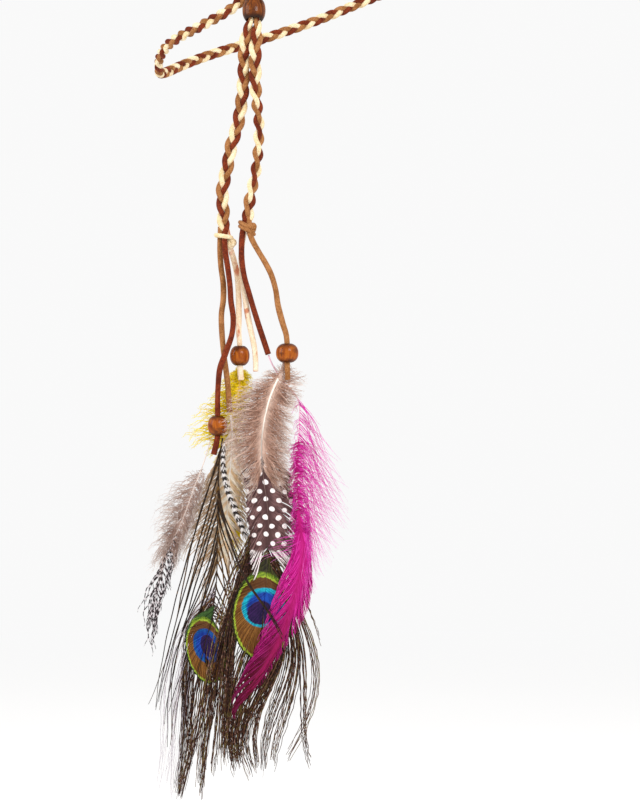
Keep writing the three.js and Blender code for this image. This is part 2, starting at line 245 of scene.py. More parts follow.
def make_piece(name, points, faces, materials, slots=None, values=None, places=None):
    """One object. faces is a list of arrays with one row of corners for each face."""
    mesh = bpy.data.meshes.new(name)
    mesh.vertices.add(len(points))
    mesh.vertices.foreach_set("co", (np.asarray(points) * MM).astype(np.float32).ravel())
    sizes = np.concatenate([np.full(len(f), f.shape[1]) for f in faces])
    corners = np.concatenate([f.ravel() for f in faces]).astype(np.int32)
    mesh.loops.add(len(corners))
    mesh.loops.foreach_set("vertex_index", corners)
    mesh.polygons.add(len(sizes))
    starts = np.concatenate([[0], np.cumsum(sizes)[:-1]]).astype(np.int32)
    mesh.polygons.foreach_set("loop_start", starts)
    for material in materials:
        mesh.materials.append(material)
    if slots is not None:
        mesh.polygons.foreach_set("material_index", slots.astype(np.int32))
    mesh.update(calc_edges=True)
    for label, numbers in (values or {}).items():
        layer = mesh.attributes.new(label, "FLOAT", "POINT")
        layer.data.foreach_set("value", numbers.astype(np.float32))
    if places is not None:
        layer = mesh.uv_layers.new(name="OFBake")
        layer.uv.foreach_set("vector", places[corners].astype(np.float32).ravel())
    mesh.shade_smooth()
    piece = bpy.data.objects.new(name, mesh)
    scene.collection.objects.link(piece)
    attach(piece, "root")
    return piece


print("a vector made one long:", unit(np.array([3.0, 0.0, 4.0])))

# %% [markdown]
# ## A skin swept along a line
#
# Cords, braid strands, knots and shafts are all one idea: an oval section that follows
# a line. The section stays square to the line, and its flat side faces the way it is
# told to, so that a strand keeps its flat on the surface of the braid.

# %% Sweep an oval along a line
CORD_SIDES = 14


def frames_along(points, facing):
    """Directions at each point: along the line, to its side, and to its front."""
    along = unit(np.gradient(points, axis=0))
    front = facing - (facing * along).sum(axis=1, keepdims=True) * along
    side = unit(np.cross(unit(front), along))
    return along, side, np.cross(along, side)


def sweep(points, facing, half_wide, half_deep, sides=CORD_SIDES):
    """Skin points, faces and, per point, its turn round the line in radians."""
    _, side, front = frames_along(points, facing)
    turn = np.arange(sides) * 2 * math.pi / sides
    wide = np.broadcast_to(half_wide, len(points))[:, None, None]
    deep = np.broadcast_to(half_deep, len(points))[:, None, None]
    across = side[:, None] * np.cos(turn)[None, :, None] * wide
    outward = front[:, None] * np.sin(turn)[None, :, None] * deep
    rings = points[:, None] + across + outward
    here = np.arange(len(points) - 1)[:, None] * sides
    a = here + np.arange(sides)
    b = here + (np.arange(sides) + 1) % sides
    walls = np.stack([a, b, b + sides, a + sides], axis=-1).reshape(-1, 4)
    ring = np.arange(sides)
    ends = np.stack([ring[::-1], ring + (len(points) - 1) * sides])
    return rings.reshape(-1, 3), [walls, ends], np.tile(turn, len(points))


def joined(parts):
    """Several skins as one: their points, faces, and which skin each face is from."""
    points = np.vstack([skin[0] for skin in parts])
    starts = np.cumsum([0] + [len(skin[0]) for skin in parts])
    faces = [f + starts[i] for i, skin in enumerate(parts) for f in skin[1]]
    owner = np.concatenate([np.full(len(f), i) for i, skin in enumerate(parts) for f in skin[1]])
    return points, faces, owner


VIEWER = np.array([0.0, -1.0, 0.0])
straight = np.array([[0.0, 0.0, 0.0], [0.0, 0.0, -5.0], [0.0, 0.0, -10.0]])
print("points in a skin of three rings:", len(sweep(straight, VIEWER, 1.5, 1.5)[0]))

# %% [markdown]
# ## Writing a finish as an expression
#
# A finish is a small calculation for each point of a surface. Blender draws it as
# nodes, but it reads better as a formula. The class below wraps one socket. Adding or
# multiplying it adds a Math node, and every other node comes from its node() method,
# which makes the node's settings first and then fills its sockets.


# %% A socket that can be added and multiplied
class Wire:
    """One value in a material. Arithmetic on it adds Math nodes."""

    def __init__(self, tree, socket=None):
        self.tree = tree
        self.socket = socket

    def node(self, kind, settings=None, sockets=None, out=0):
        """Adds a node: its settings first, then the values or wires of its sockets."""
        made = self.tree.nodes.new(kind)
        for name, value in (settings or {}).items():
            setattr(made, name, value)
        for name, value in (sockets or {}).items():
            if isinstance(value, Wire):
                self.tree.links.new(value.socket, made.inputs[name])
            else:
                made.inputs[name].default_value = value
        return Wire(self.tree, made.outputs[out])

    def math(self, operation, *values):
        """Adds a Math node that works on these values or wires."""
        return self.node("ShaderNodeMath", {"operation": operation}, dict(enumerate(values)))

    def __add__(self, other):
        return self.math("ADD", self, other)

    def __sub__(self, other):
        return self.math("SUBTRACT", self, other)

    def __rsub__(self, other):
        return self.math("SUBTRACT", other, self)

    def __mul__(self, other):
        return self.math("MULTIPLY", self, other)

    def __truediv__(self, other):
        return self.math("DIVIDE", self, other)

    def __mod__(self, other):
        return self.math("FLOORED_MODULO", self, other)

    __radd__ = __add__
    __rmul__ = __mul__


print("arithmetic on a wire adds Math nodes")

# %% [markdown]
# ## A few words for finishes
#
# Colours are written as the usual six-digit codes and turned into the linear light
# that the renderer works in. A mask is a wire from 0 to 1, and blend() lays one colour
# over another where the mask is high. ramp_up() makes a soft step.


# %% Colours, masks and noise
def colour(code):
    """A six-digit colour code as linear red, green, blue and 1."""
    parts = [int(code[i : i + 2], 16) / 255 for i in (0, 2, 4)]
    return tuple(p / 12.92 if p <= 0.04045 else ((p + 0.055) / 1.055) ** 2.4 for p in parts) + (1,)


def blend(mask, under, over):
    """The colour over where the mask is 1, and under where it is 0."""
    sockets = {0: mask, 6: under, 7: over}
    return mask.node("ShaderNodeMix", {"data_type": "RGBA"}, sockets, out=2)


def ramp_up(wire, start, end):
    """A soft step from 0 to 1 as the wire goes from start to end."""
    sockets = {0: wire, 1: start, 2: end}
    return wire.node("ShaderNodeMapRange", {"interpolation_type": "SMOOTHSTEP"}, sockets)


def noise(start, scale, detail=3.0, stretch=(1, 1, 1)):
    """Cloudy noise from 0 to 1 over the object's own space, with scale lumps a metre."""
    place = start.node("ShaderNodeTexCoord", out=3)
    sockets = {0: place, 3: stretch}
    moved = place.node("ShaderNodeMapping", None, sockets)
    return moved.node("ShaderNodeTexNoise", None, {"Vector": moved, "Scale": scale, "Detail": detail})


def value_of(start, name):
    """An attribute that the mesh carries, such as the distance along a barb."""
    return start.node("ShaderNodeAttribute", {"attribute_name": name}, out=2)


def new_finish(name, **constants):
    """A new material, a wire to start from, and its shader with these constants set."""
    material = bpy.data.materials.new(name)
    material.use_nodes = True
    shader = material.node_tree.nodes["Principled BSDF"]
    for socket, value in constants.items():
        shader.inputs[socket.replace("_", " ")].default_value = value
    return material, Wire(material.node_tree), shader


def lay(shader, socket, wire):
    """Feeds a wire into one of the shader's sockets."""
    wire.tree.links.new(wire.socket, shader.inputs[socket])


def lay_bump(shader, height, distance, strength=0.6):
    """Raises the surface by distance metres where the height wire is 1."""
    sockets = {"Strength": strength, "Distance": distance, "Height": height}
    lay(shader, "Normal", height.node("ShaderNodeBump", None, sockets))


print("middle grey as linear light:", [round(part, 3) for part in colour("808080")])

# %% [markdown]
# ## Suede cord
#
# The cord is split leather, dyed and left with its nap. Close to, it is never one
# colour: the nap catches light in patches, fibres stand up, and a fold runs round the
# cord in a slow screw where the flat strip was rolled. So the finish mixes a darker
# and a lighter dye by fine noise, paints shade into the fold, and lifts the fibres with a bump.


# %% The suede finish
def suede(name, dark, light, stain=None):
    """Matt suede. stain, if given, is a colour that has soaked in here and there."""
    material, wire, shader = new_finish(
        name, Sheen_Weight=0.04, Sheen_Roughness=0.6, Specular_IOR_Level=0.1
    )
    nap = noise(wire, 1400, 4)
    patches = noise(wire, 160, 2)
    fold = value_of(wire, "fold")
    dye = blend(ramp_up(nap * 0.6 + patches * 0.4, 0.36, 0.64), colour(dark), colour(light))
    # painted shade: the crease of the fold is darkened, and the bump below sinks it too
    dye = blend(fold * 0.45, dye, colour(dark))
    if stain:
        spots = ramp_up(noise(wire, 210, 2, (1, 1, 0.6)), 0.53, 0.64)
        dye = blend(spots * 0.8, dye, colour(stain))
    lay(shader, "Base Color", dye)
    lay(shader, "Roughness", 0.8 + nap * 0.18)
    lay_bump(shader, nap - fold * 0.8, 0.0003)
    return material


rust_suede = suede("rust suede", "541d0d", "84371b")
tan_suede = suede("tan suede", "805028", "ae784a")
cream_suede = suede("cream suede", "d8bd8c", "f6e6c4")
stained_suede = suede("stained cream suede", "e6caa6", "f7e6ce", stain="c0643a")
print("suede finishes:", rust_suede.name, tan_suede.name, cream_suede.name)

# %% [markdown]
# ## The loose cords
#
# Six loose cords hang from the two knots. Each is a swept skin on its own route. The
# cord is hand-cut, so its width wanders a little, and the fold goes once round it in
# 11 mm.

# %% Make the loose cords
CORD_WIDTH = 3.0
CORD_STEP = 0.7
CORD_WANDER = 0.022
CORD_FLATNESS = 0.97
FOLD_PITCH = 11.0
FOLD_WIDTH = 0.5


def fold_value(turn, along, pitch=FOLD_PITCH):
    """1 on the line where the rolled strip meets itself, and 0 away from it."""
    apart = (turn - 2 * math.pi * along / pitch + math.pi) % (2 * math.pi) - math.pi
    return np.exp(-((apart / FOLD_WIDTH) ** 2))


def cord_skin(route, seed):
    """A cord's skin and its fold values."""
    centre = smooth_route(route, CORD_STEP)
    along = distances_along(centre)
    wander = np.random.default_rng(seed)
    waves = sum(np.sin(along / wander.uniform(3, 12) + wander.uniform(0, 6)) for _ in range(4))
    half = CORD_WIDTH / 2 * (1 + CORD_WANDER * waves)
    points, faces, turn = sweep(centre, VIEWER, half, half * CORD_FLATNESS)
    return points, faces, fold_value(turn, np.repeat(along, CORD_SIDES))


CORD_FINISHES = {
    "rear_cord_tan": (tan_suede, "tan_suede"),
    "rear_cord_rust": (rust_suede, "rust_suede"),
    "rear_cord_cream": (stained_suede, "cream_suede"),
    "front_cord_tan": (tan_suede, "tan_suede"),
    "front_cord_rust": (rust_suede, "rust_suede"),
    "front_cord_cream": (stained_suede, "cream_suede"),
}
cords = {}
for seed, (node, route) in enumerate(CORD_ROUTES.items()):
    material, slot = CORD_FINISHES[node]
    points, faces, fold = cord_skin(route, seed)
    cords[node] = make_piece(node + "_suede", points, faces, [material], values={"fold": fold})
    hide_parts(node)
    print(cords[node].name, len(points), "points")

# %% [markdown]
# ## Braiding three strands
#
# A flat braid is three strands that all follow the same figure of eight, each a third
# of a turn behind the last. Across the braid a strand swings once from edge to edge,
# and in depth it swings twice, so that it goes over while it moves inwards and under
# while it moves out. Formulas give both swings, which is simpler and truer than
# bending three cords by hand. Inside the bead the strands are squeezed together.

# %% The path of each strand
BRAID_LIFT = 1.15
STRAND_HALF_WIDE = 1.42
STRAND_HALF_DEEP = 1.2
STRAND_SIDES = 12
SQUEEZE_START = 5.0
SQUEEZE_END = 16.0


def soft_step(value, start, end):
    """0 before start, 1 after end and a smooth turn between."""
    x = np.clip((value - start) / (end - start), 0, 1)
    return x * x * (3 - 2 * x)


def braid_skins(centre, facing, cycle, shift, open_at, sway):
    """Three skins and their fold values. open_at is 0 where squeezed and 1 where open."""
    along = distances_along(centre)
    _, side, front = frames_along(centre, facing)
    skins, folds = [], []
    for strand in range(3):
        phase = 2 * math.pi * ((along - shift) / cycle + strand / 3)
        swing = sway * (0.3 + 0.7 * open_at) * np.sin(phase)
        lift = -BRAID_LIFT * (1.1 - 0.1 * open_at) * np.sin(2 * phase)
        path = centre + side * swing[:, None] + front * lift[:, None]
        wide = STRAND_HALF_WIDE * (0.62 + 0.38 * open_at)
        deep = STRAND_HALF_DEEP * (0.8 + 0.2 * open_at)
        points, faces, turn = sweep(path, facing, wide, deep, STRAND_SIDES)
        skins.append((points, faces))
        folds.append(fold_value(turn + strand, np.repeat(along, STRAND_SIDES), cycle))
    return skins, np.concatenate(folds)


def braid_piece(name, node, centre, facing, cycle, shift, open_at, sway):
    """One braid as one piece, with rust, tan and cream strands."""
    skins, folds = braid_skins(centre, facing, cycle, shift, open_at, sway)
    points, faces, owner = joined(skins)
    finishes = [rust_suede, tan_suede, cream_suede]
    piece = make_piece(name, points, faces, finishes, owner, {"fold": folds})
    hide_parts(node)
    return piece


print("width of one strand of the braid, in mm:", 2 * STRAND_HALF_WIDE)

# %% [markdown]
# ## The head loop
#
# The loop lies on the head with its flat side against it, so the braid faces outward
# from an oval all the way round. Worn, the near part is pulled tight and its strands
# cross every few millimetres: one full swing takes 17.5 mm.

# %% Braid the head loop
LOOP_HALF_LENGTH = 98.5
LOOP_HALF_BREADTH = 74.0
LOOP_CYCLE = 17.5
LOOP_SWAY = 1.55
LOOP_STEP = 0.8
LOOP_SHIFT = 9.0

centre = smooth_route(HEAD_ROUTE, LOOP_STEP)
outward = centre / np.array([LOOP_HALF_LENGTH**2, LOOP_HALF_BREADTH**2, 1])
outward[:, 2] = 0
along = distances_along(centre)
from_bead = np.minimum(along, along[-1] - along)
open_at = soft_step(from_bead, SQUEEZE_START, SQUEEZE_END)
head_loop = braid_piece(
    "head_loop", "head_braid", centre, unit(outward), LOOP_CYCLE,
    along[-1] - LOOP_SHIFT, open_at, LOOP_SWAY,
)
print("head loop, in mm:", round(along[-1]), "and its points:", len(head_loop.data.vertices))

# %% [markdown]
# ## The two tails
#
# Below the bead the braid hangs free and has slackened, so a full swing takes 24 mm
# on the rear tail and 25 mm on the front one.
# The rear tail shows its flat side. The front tail turns on its way down and shows
# its edge, where the braid looks half as wide and its strands look longer.

# %% Braid the tails
REAR_CYCLE = 24.0
FRONT_CYCLE = 25.0
TAIL_SWAY = 2.1
REAR_SHIFT = 14.0
FRONT_SHIFT = 18.0
FRONT_TURN = 1.15
TURN_AWAY = (22.0, 58.0)
TURN_BACK = (88.0, 112.0)
END_LENGTH = 5.0


def tail(name, node, shift, turned, cycle):
    """A tail whose flat side turns by the angle turned as it hangs down."""
    middle = smooth_route(TAIL_ROUTES[node], CORD_STEP)
    reach = distances_along(middle)
    angle = turned * soft_step(reach, *TURN_AWAY) * (1 - 0.5 * soft_step(reach, *TURN_BACK))
    facing = np.stack([np.sin(angle), -np.cos(angle), 0 * angle], axis=1)
    loose = soft_step(reach, SQUEEZE_START - 3, SQUEEZE_END)
    loose *= 1 - 0.35 * soft_step(reach, reach[-1] - END_LENGTH, reach[-1])
    piece = braid_piece(name, node, middle, facing, cycle, shift, loose, TAIL_SWAY)
    return piece, middle


rear_tail, rear_centre = tail("rear_tail", "rear_tail_braid", REAR_SHIFT, 0.0, REAR_CYCLE)
front_tail, front_centre = tail(
    "front_tail", "front_tail_braid", FRONT_SHIFT, FRONT_TURN, FRONT_CYCLE
)
print("tail points:", len(rear_tail.data.vertices), len(front_tail.data.vertices))

# %% [markdown]
# ## The knots that end the tails
#
# Each tail is tied off with one of its own cords: a turn right round the braid, and
# then a small tight knot that the cord hangs from. The turn is an oval ring round the
# tail. The knot is a swept three-lobed knot curve, small and pulled tight, so that its
# crossings read as real ones. The front tail has nearly two turns.

# %% Lines of the turns and the knots
STEPS_A_TURN = 70
TURN_START = 0.9
KNOT_STEPS = 91
KNOT_LOBE = 0.42


def turn_path(middle, half_wide, half_deep, slope, turns=1.0, rise=0.0):
    """A turn of cord round a braid. slope makes its right side hang lower."""
    angle = np.linspace(0, 2 * math.pi * turns, int(STEPS_A_TURN * turns)) + TURN_START
    x = half_wide * np.cos(angle)
    y = half_deep * np.sin(angle)
    z = -slope * x + rise * (angle / (2 * math.pi) - turns / 2)
    return np.array(middle) + np.stack([x, y, z], axis=1)


def knot_path(middle, radius, flat, tip):
    """A small tight knot, flattened front to back by flat and tipped by tip."""
    t = np.linspace(0, 2 * math.pi, KNOT_STEPS)
    x = (1 + KNOT_LOBE * np.cos(3 * t)) * np.cos(2 * t)
    z = (1 + KNOT_LOBE * np.cos(3 * t)) * np.sin(2 * t)
    y = 0.5 * np.sin(3 * t)
    across = x * math.cos(tip) - z * math.sin(tip)
    up = x * math.sin(tip) + z * math.cos(tip)
    return np.array(middle) + radius * np.stack([across, y * flat, up], axis=1)


one_turn = distances_along(turn_path((0, 0, 0), 4.0, 3.4, 0.16))[-1]
print("length of a turn, in mm:", round(one_turn, 1))

# %% [markdown]
# ## Cords that run on inside a knot
#
# The loose cords come out of the end of the braid, so a short run of each goes up
# through the knot. Without it a gap would show between the braid and the cords. The
# turns, the small knot and these short runs are joined as one piece.


# %% Tie the knots
def through_knot(node, tail_end, lean):
    """The short hidden run of a cord from the end of the braid to where it hangs free."""
    first, second = np.array(CORD_ROUTES[node][0]), np.array(CORD_ROUTES[node][1])
    start = np.array(tail_end) + [lean, 0, 2.5]
    middle = start * 0.45 + first * 0.55
    return smooth_route([start, middle, first, first + (second - first) * 0.2], 0.6)


def tie(name, node, knot_material, paths, half, inside):
    """One knot from lines of cord half mm in radius, and the cords inside it."""
    skins, folds = [], []
    finishes = [knot_material] + [CORD_FINISHES[cord][0] for cord, _ in inside]
    lines = [(path, half) for path in paths] + [(path, CORD_WIDTH / 2) for _, path in inside]
    # The facing is a little off the view, because no part of a knot runs straight that way.
    for path, radius in lines:
        points, faces, turn = sweep(path, VIEWER + 0.2, radius, radius * 0.92, STRAND_SIDES)
        skins.append((points, faces))
        folds.append(fold_value(turn, np.repeat(distances_along(path), STRAND_SIDES)))
    points, faces, owner = joined(skins)
    values = {"fold": np.concatenate(folds)}
    kind = np.maximum(owner - len(paths) + 1, 0)
    piece = make_piece(name, points, faces, finishes, kind, values)
    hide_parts(node)
    return piece


REAR_END = TAIL_ROUTES["rear_tail_braid"][-1]
FRONT_END = TAIL_ROUTES["front_tail_braid"][-1]
rear_turn = turn_path((-60.0, -70.2, -138.8), 4.0, 3.4, 0.16)
rear_lump = knot_path((-56.2, -69.6, -142.2), 1.35, 0.8, 0.3)
rear_inside = [
    ("rear_cord_tan", through_knot("rear_cord_tan", REAR_END, -1.6)),
    ("rear_cord_rust", through_knot("rear_cord_rust", REAR_END, 0.9)),
    ("rear_cord_cream", through_knot("rear_cord_cream", REAR_END, 1.4)),
]
rear_knot = tie(
    "rear_knot", "rear_wrap_knot", cream_suede,
    [rear_turn, rear_lump], 1.2, rear_inside,
)
front_turn = turn_path((-47.6, -73.0, -134.0), 3.6, 3.3, 0.42, 1.9, -2.1)
front_lump = knot_path((-45.0, -75.0, -134.4), 1.2, 0.8, 0.8)
front_inside = [
    ("front_cord_tan", through_knot("front_cord_tan", FRONT_END, 0.8)),
    ("front_cord_rust", through_knot("front_cord_rust", FRONT_END, -0.9)),
    ("front_cord_cream", through_knot("front_cord_cream", FRONT_END, -0.4)),
]
front_knot = tie(
    "front_knot", "front_wrap_knot", tan_suede,
    [front_turn, front_lump], 1.15, front_inside,
)
print("knot points:", len(rear_knot.data.vertices), len(front_knot.data.vertices))

# %% [markdown]
# ## Lacquered wood
#
# The beads are turned, stained and lacquered. The grain runs along the bore, so it
# shows as fine upright streaks. Towards the rims and inside the bore the wood is
# darkened as painted shade. An image of wood would smear on a round bead, so
# stretched noise draws the grain, and a clear coat on top gives the sharp highlight.

# %% The wood finish
def lacquered_wood(name, streak, middle, dark):
    """Stained wood with its grain along the bore, under a clear coat, with painted shade towards its
    rims and in its bore.
    """
    material, wire, shader = new_finish(
        name, Coat_Weight=0.28, Coat_Roughness=0.06, Coat_IOR=1.5, Specular_IOR_Level=0.08
    )
    grain = noise(wire, 900, 5, (1, 1, 0.12))
    mottle = noise(wire, 260, 3)
    rim = value_of(wire, "rim")
    wood = blend(ramp_up(grain, 0.3, 0.75), colour(middle), colour(streak))
    wood = blend(ramp_up(mottle, 0.48, 0.68) * 0.65, wood, colour(dark))
    # painted shade: darker towards the rims, and fully dark inside the bore
    wood = blend(ramp_up(rim, 0.4, 1.0) * 0.92, wood, colour(dark))
    lay(shader, "Base Color", wood)
    lay(shader, "Roughness", 0.32 + grain * 0.25)
    lay_bump(shader, grain, 0.00012, 0.4)
    return material


# the third colour serves both the dark mottle and the painted shade at the rims and bore
small_bead_wood = lacquered_wood("stained bead wood", "b4620e", "803604", "3a1403")
slider_wood = lacquered_wood("dark bead wood", "8a480a", "542404", "1c0a02")
print("wood finishes:", small_bead_wood.name, slider_wood.name)

# %% [markdown]
# ## The beads
#
# A turned bead is the same all round, so its outline is turned about its bore: a full
# barrel outside, rounded rims, and a straight bore that really goes through. The
# outline could be drawn by hand, but a superellipse needs only one number to say how
# full the barrel is.

# %% Turn the beads
BEAD_SEGMENTS = 72
BEAD_STEPS = 30
BEAD_ROUNDNESS = 2.3
RIM_ROUNDING = 0.45
LIP_WIDTH = 0.1
LIP_HEIGHT = 0.995
EDGE_HEIGHT = 0.96
BORE_STEPS = 8
BORE_PAINTED_SHADE = 1.2


def bead(name, node, radius, half_height, bore, material, tilt=0.0):
    """A barrel bead with rounded rims and a bore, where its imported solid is."""
    lowest, highest = (1000 * np.array(corner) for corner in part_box(node))
    reach = np.linspace(-1, 1, BEAD_STEPS)
    rim = bore + RIM_ROUNDING
    top = (1 - (rim / radius) ** BEAD_ROUNDNESS) ** (1 / BEAD_ROUNDNESS)
    wide = radius * (1 - np.abs(reach * top) ** BEAD_ROUNDNESS) ** (1 / BEAD_ROUNDNESS)
    inner = np.linspace(1, -1, BORE_STEPS)[1:-1]
    outer = bore + LIP_WIDTH
    r = np.concatenate([wide, [outer, bore], np.full(len(inner), bore), [bore, outer]])
    edge = half_height * EDGE_HEIGHT
    lip = half_height * LIP_HEIGHT
    z = np.concatenate([half_height * reach, [lip, edge], inner * edge, [-edge, -lip]])
    turn = np.arange(BEAD_SEGMENTS) * 2 * math.pi / BEAD_SEGMENTS
    x = r[:, None] * np.cos(turn)
    y = r[:, None] * np.sin(turn)
    height = np.broadcast_to(z[:, None], x.shape)
    tipped_y = y * math.cos(tilt) + height * math.sin(tilt)
    tipped_z = height * math.cos(tilt) - y * math.sin(tilt)
    points = np.stack([x, tipped_y, tipped_z], axis=-1).reshape(-1, 3) + (lowest + highest) / 2
    a = np.arange(len(r))[:, None] * BEAD_SEGMENTS + np.arange(BEAD_SEGMENTS)
    b = np.roll(a, -1, axis=1)
    walls = np.stack([a, b, np.roll(b, -1, axis=0), np.roll(a, -1, axis=0)], axis=-1)
    outside = np.arange(len(r)) < BEAD_STEPS
    # the bore gets a rim value past 1, so it is painted in full shade
    from_middle = np.where(outside, np.abs(z) / half_height, BORE_PAINTED_SHADE)
    values = {"rim": np.repeat(from_middle, BEAD_SEGMENTS)}
    piece = make_piece(name, points, [walls.reshape(-1, 4)], [material], values=values)
    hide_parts(node)
    return piece


slider_bead = bead("slider_bead_wood", "slider_bead", 6.1, 5.7, 3.95, slider_wood, 0.26)
front_bead = bead("front_bead_wood", "front_cord_bead", 5.9, 5.0, 2.0, small_bead_wood)
cream_bead = bead("cream_bead_wood", "cream_cord_bead", 5.2, 5.2, 2.0, small_bead_wood)
rust_bead = bead("rust_bead_wood", "rust_cord_bead", 5.2, 5.2, 2.0, small_bead_wood)
print("bead points:", len(slider_bead.data.vertices))

# %% [markdown]
#
# The tails end in their knots. The loose cords end bare, in a feather's quill, and
# three of them pass through a bead.


for node, piece in cords.items():
    route = smooth_route(CORD_ROUTES[node], CORD_STEP)

# %% [markdown]
# ## How a feather is made
#
# A feather is a shaft with barbs on both sides. A card with a picture on it would look
# flat from the side, and hair particles can't be joined to the model, so each barb is
# a thin three-sided strand. All barbs of a feather are worked out together: where each
# leaves the shaft, where its tip is and how it curves between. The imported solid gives
# the feather's edges and depth at each height, and the tips end there.


# %% Read a feather's outer form
class Blade:
    """The edges and depth of a feather by height, in mm, from the lowest level up."""

    def __init__(self, levels, left, right, depth):
        self.levels = np.array(levels, float)
        self.left = np.array(left, float)
        self.right = np.array(right, float)
        self.depth = np.array(depth, float)

    def edge(self, height, side):
        """The left edge where side is negative, and the right edge where it isn't."""
        left = np.interp(height, self.levels, self.left)
        return np.where(side < 0, left, np.interp(height, self.levels, self.right))

    def depth_at(self, height):
        """The y of the middle of the feather's thickness at this height."""
        return np.interp(height, self.levels, self.depth)


def packed_blade(node):
    """The form of a packed feather, from its rings of corners."""
    corners = 1000 * np.array([tuple(v.co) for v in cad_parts[node].data.vertices])
    levels = np.unique(corners[:, 2].round(2))
    rings = [corners[np.abs(corners[:, 2] - level) < 0.02] for level in levels]
    left = [ring[:, 0].min() for ring in rings]
    right = [ring[:, 0].max() for ring in rings]
    return Blade(levels, left, right, [ring[:, 1].mean() for ring in rings])


blades = {node: packed_blade(node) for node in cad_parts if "feather" in node}
for node, blade in blades.items():
    print(node, "hangs from", blade.levels[-1], "to", blade.levels[0])

# %% [markdown]
# ## Curves for many barbs at once
#
# A cubic curve needs four points: the root, the tip and two that pull it. Given as
# arrays, hundreds of barbs bend in one line of arithmetic. A slow wave that grows
# towards the tip then keeps any two barbs from being alike.


# %% Bend many barbs at once
def bend(root, pull_out, pull_in, tip, stations):
    """Points along many cubic curves: barb, station and place."""
    t = np.linspace(0, 1, stations)[None, :, None]
    p = [np.asarray(x, float)[:, None, :] for x in (root, pull_out, pull_in, tip)]
    s = 1 - t
    return s**3 * p[0] + 3 * s * s * t * p[1] + 3 * s * t * t * p[2] + t**3 * p[3]


def ripple(paths, random, amount, length):
    """Adds a wave of amount mm to each path, growing towards its tip."""
    along = unit(np.gradient(paths, axis=1))
    reach = reach_of(paths)
    grow = np.linspace(0, 1, paths.shape[1])[None, :] ** 0.7
    across = unit(np.cross(along, VIEWER))
    moved = paths.copy()
    for direction, share in ((across, 1.0), (VIEWER[None, None, :], 0.8)):
        pitch = length * random.uniform(0.7, 1.5, (len(paths), 1))
        phase = random.uniform(0, 2 * math.pi, (len(paths), 1))
        size = amount * share * random.uniform(0.3, 1, (len(paths), 1)) * grow
        moved += direction * (size * np.sin(2 * math.pi * reach / pitch + phase))[..., None]
    return moved


def reach_of(paths):
    """How far along its path each station lies, in mm."""
    steps = np.linalg.norm(np.diff(paths, axis=1), axis=2)
    return np.concatenate([np.zeros((len(paths), 1)), np.cumsum(steps, axis=1)], axis=1)


def points_on(line, distance):
    """Points at these distances along a smooth line."""
    reach = distances_along(line)
    return np.stack([np.interp(distance, reach, axis) for axis in line.T], axis=-1)


halfway = points_on(smooth_route(HEAD_ROUTE, 2.0), 100.0)
print("a point 100 mm along the head loop:", halfway.round(1))

# %% [markdown]
# ## Gathering the parts of one feather
#
# One feather has thousands of barbs, so they are gathered in arrays and become one
# mesh at the end. A Plume holds the arrays. Each strand gets its own strip on the map
# that a finish is drawn on, and what grows on the strand lies on the same strip.

# %% Gather arrays and make the mesh
STRIP_ROWS = 6
STRIP_MARGIN = 0.04
STRIP_HEIGHT = 0.92
LEFT_EDGE, MIDDLE, RIGHT_EDGE = 0.1, 0.5, 0.9


class Plume:
    """Gathers the strands of one feather and makes them one mesh."""

    def __init__(self, seed):
        self.random = np.random.default_rng(seed)
        self.points, self.faces, self.slots, self.values, self.strip_places = [], [], [], [], []
        self.size = 0
        self.strips = 0

    def keep(self, points, faces, slot, values, strip, across, along):
        """Stores points with their values and their place on their strip."""
        self.points.append(points.reshape(-1, 3))
        self.faces += [f + self.size for f in faces]
        self.slots += [np.full(len(f), slot) for f in faces]
        self.values.append(np.stack([np.broadcast_to(v, along.shape).ravel() for v in values]))
        places = [np.broadcast_to(v, along.shape).ravel() for v in (strip, across, along)]
        self.strip_places.append(np.stack(places))
        self.size += points.size // 3

    def piece(self, name, node, slot, materials):
        """Makes the mesh, with its attributes and its map, in place of the node."""
        strip, across, along = np.concatenate(self.strip_places, axis=1)
        columns = math.ceil(self.strips / STRIP_ROWS)
        u = (np.floor(strip / STRIP_ROWS) + across) / columns
        v = (strip % STRIP_ROWS + STRIP_MARGIN + STRIP_HEIGHT * along) / STRIP_ROWS
        named = zip(("along", "reach", "root", "chance"), np.concatenate(self.values, axis=1))
        values = dict(named)
        made = make_piece(
            name, np.concatenate(self.points), self.faces, materials,
            np.concatenate(self.slots), values, np.stack([u, v], axis=1),
        )
        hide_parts(node)
        triangles = sum(len(f) * (f.shape[1] - 2) for f in self.faces)
        print(name, "has", triangles, "triangles in", self.strips, "strands")


print("strips above each other on the map:", STRIP_ROWS)

# %% [markdown]
# ## Barbs as three-sided strands
#
# A barb could be a flat ribbon, but a ribbon vanishes when it is seen from its edge.
# So each strand is closed and three-sided, with its ridge to the front, and tapers
# towards its tip. All the strands of a call are made in one go.


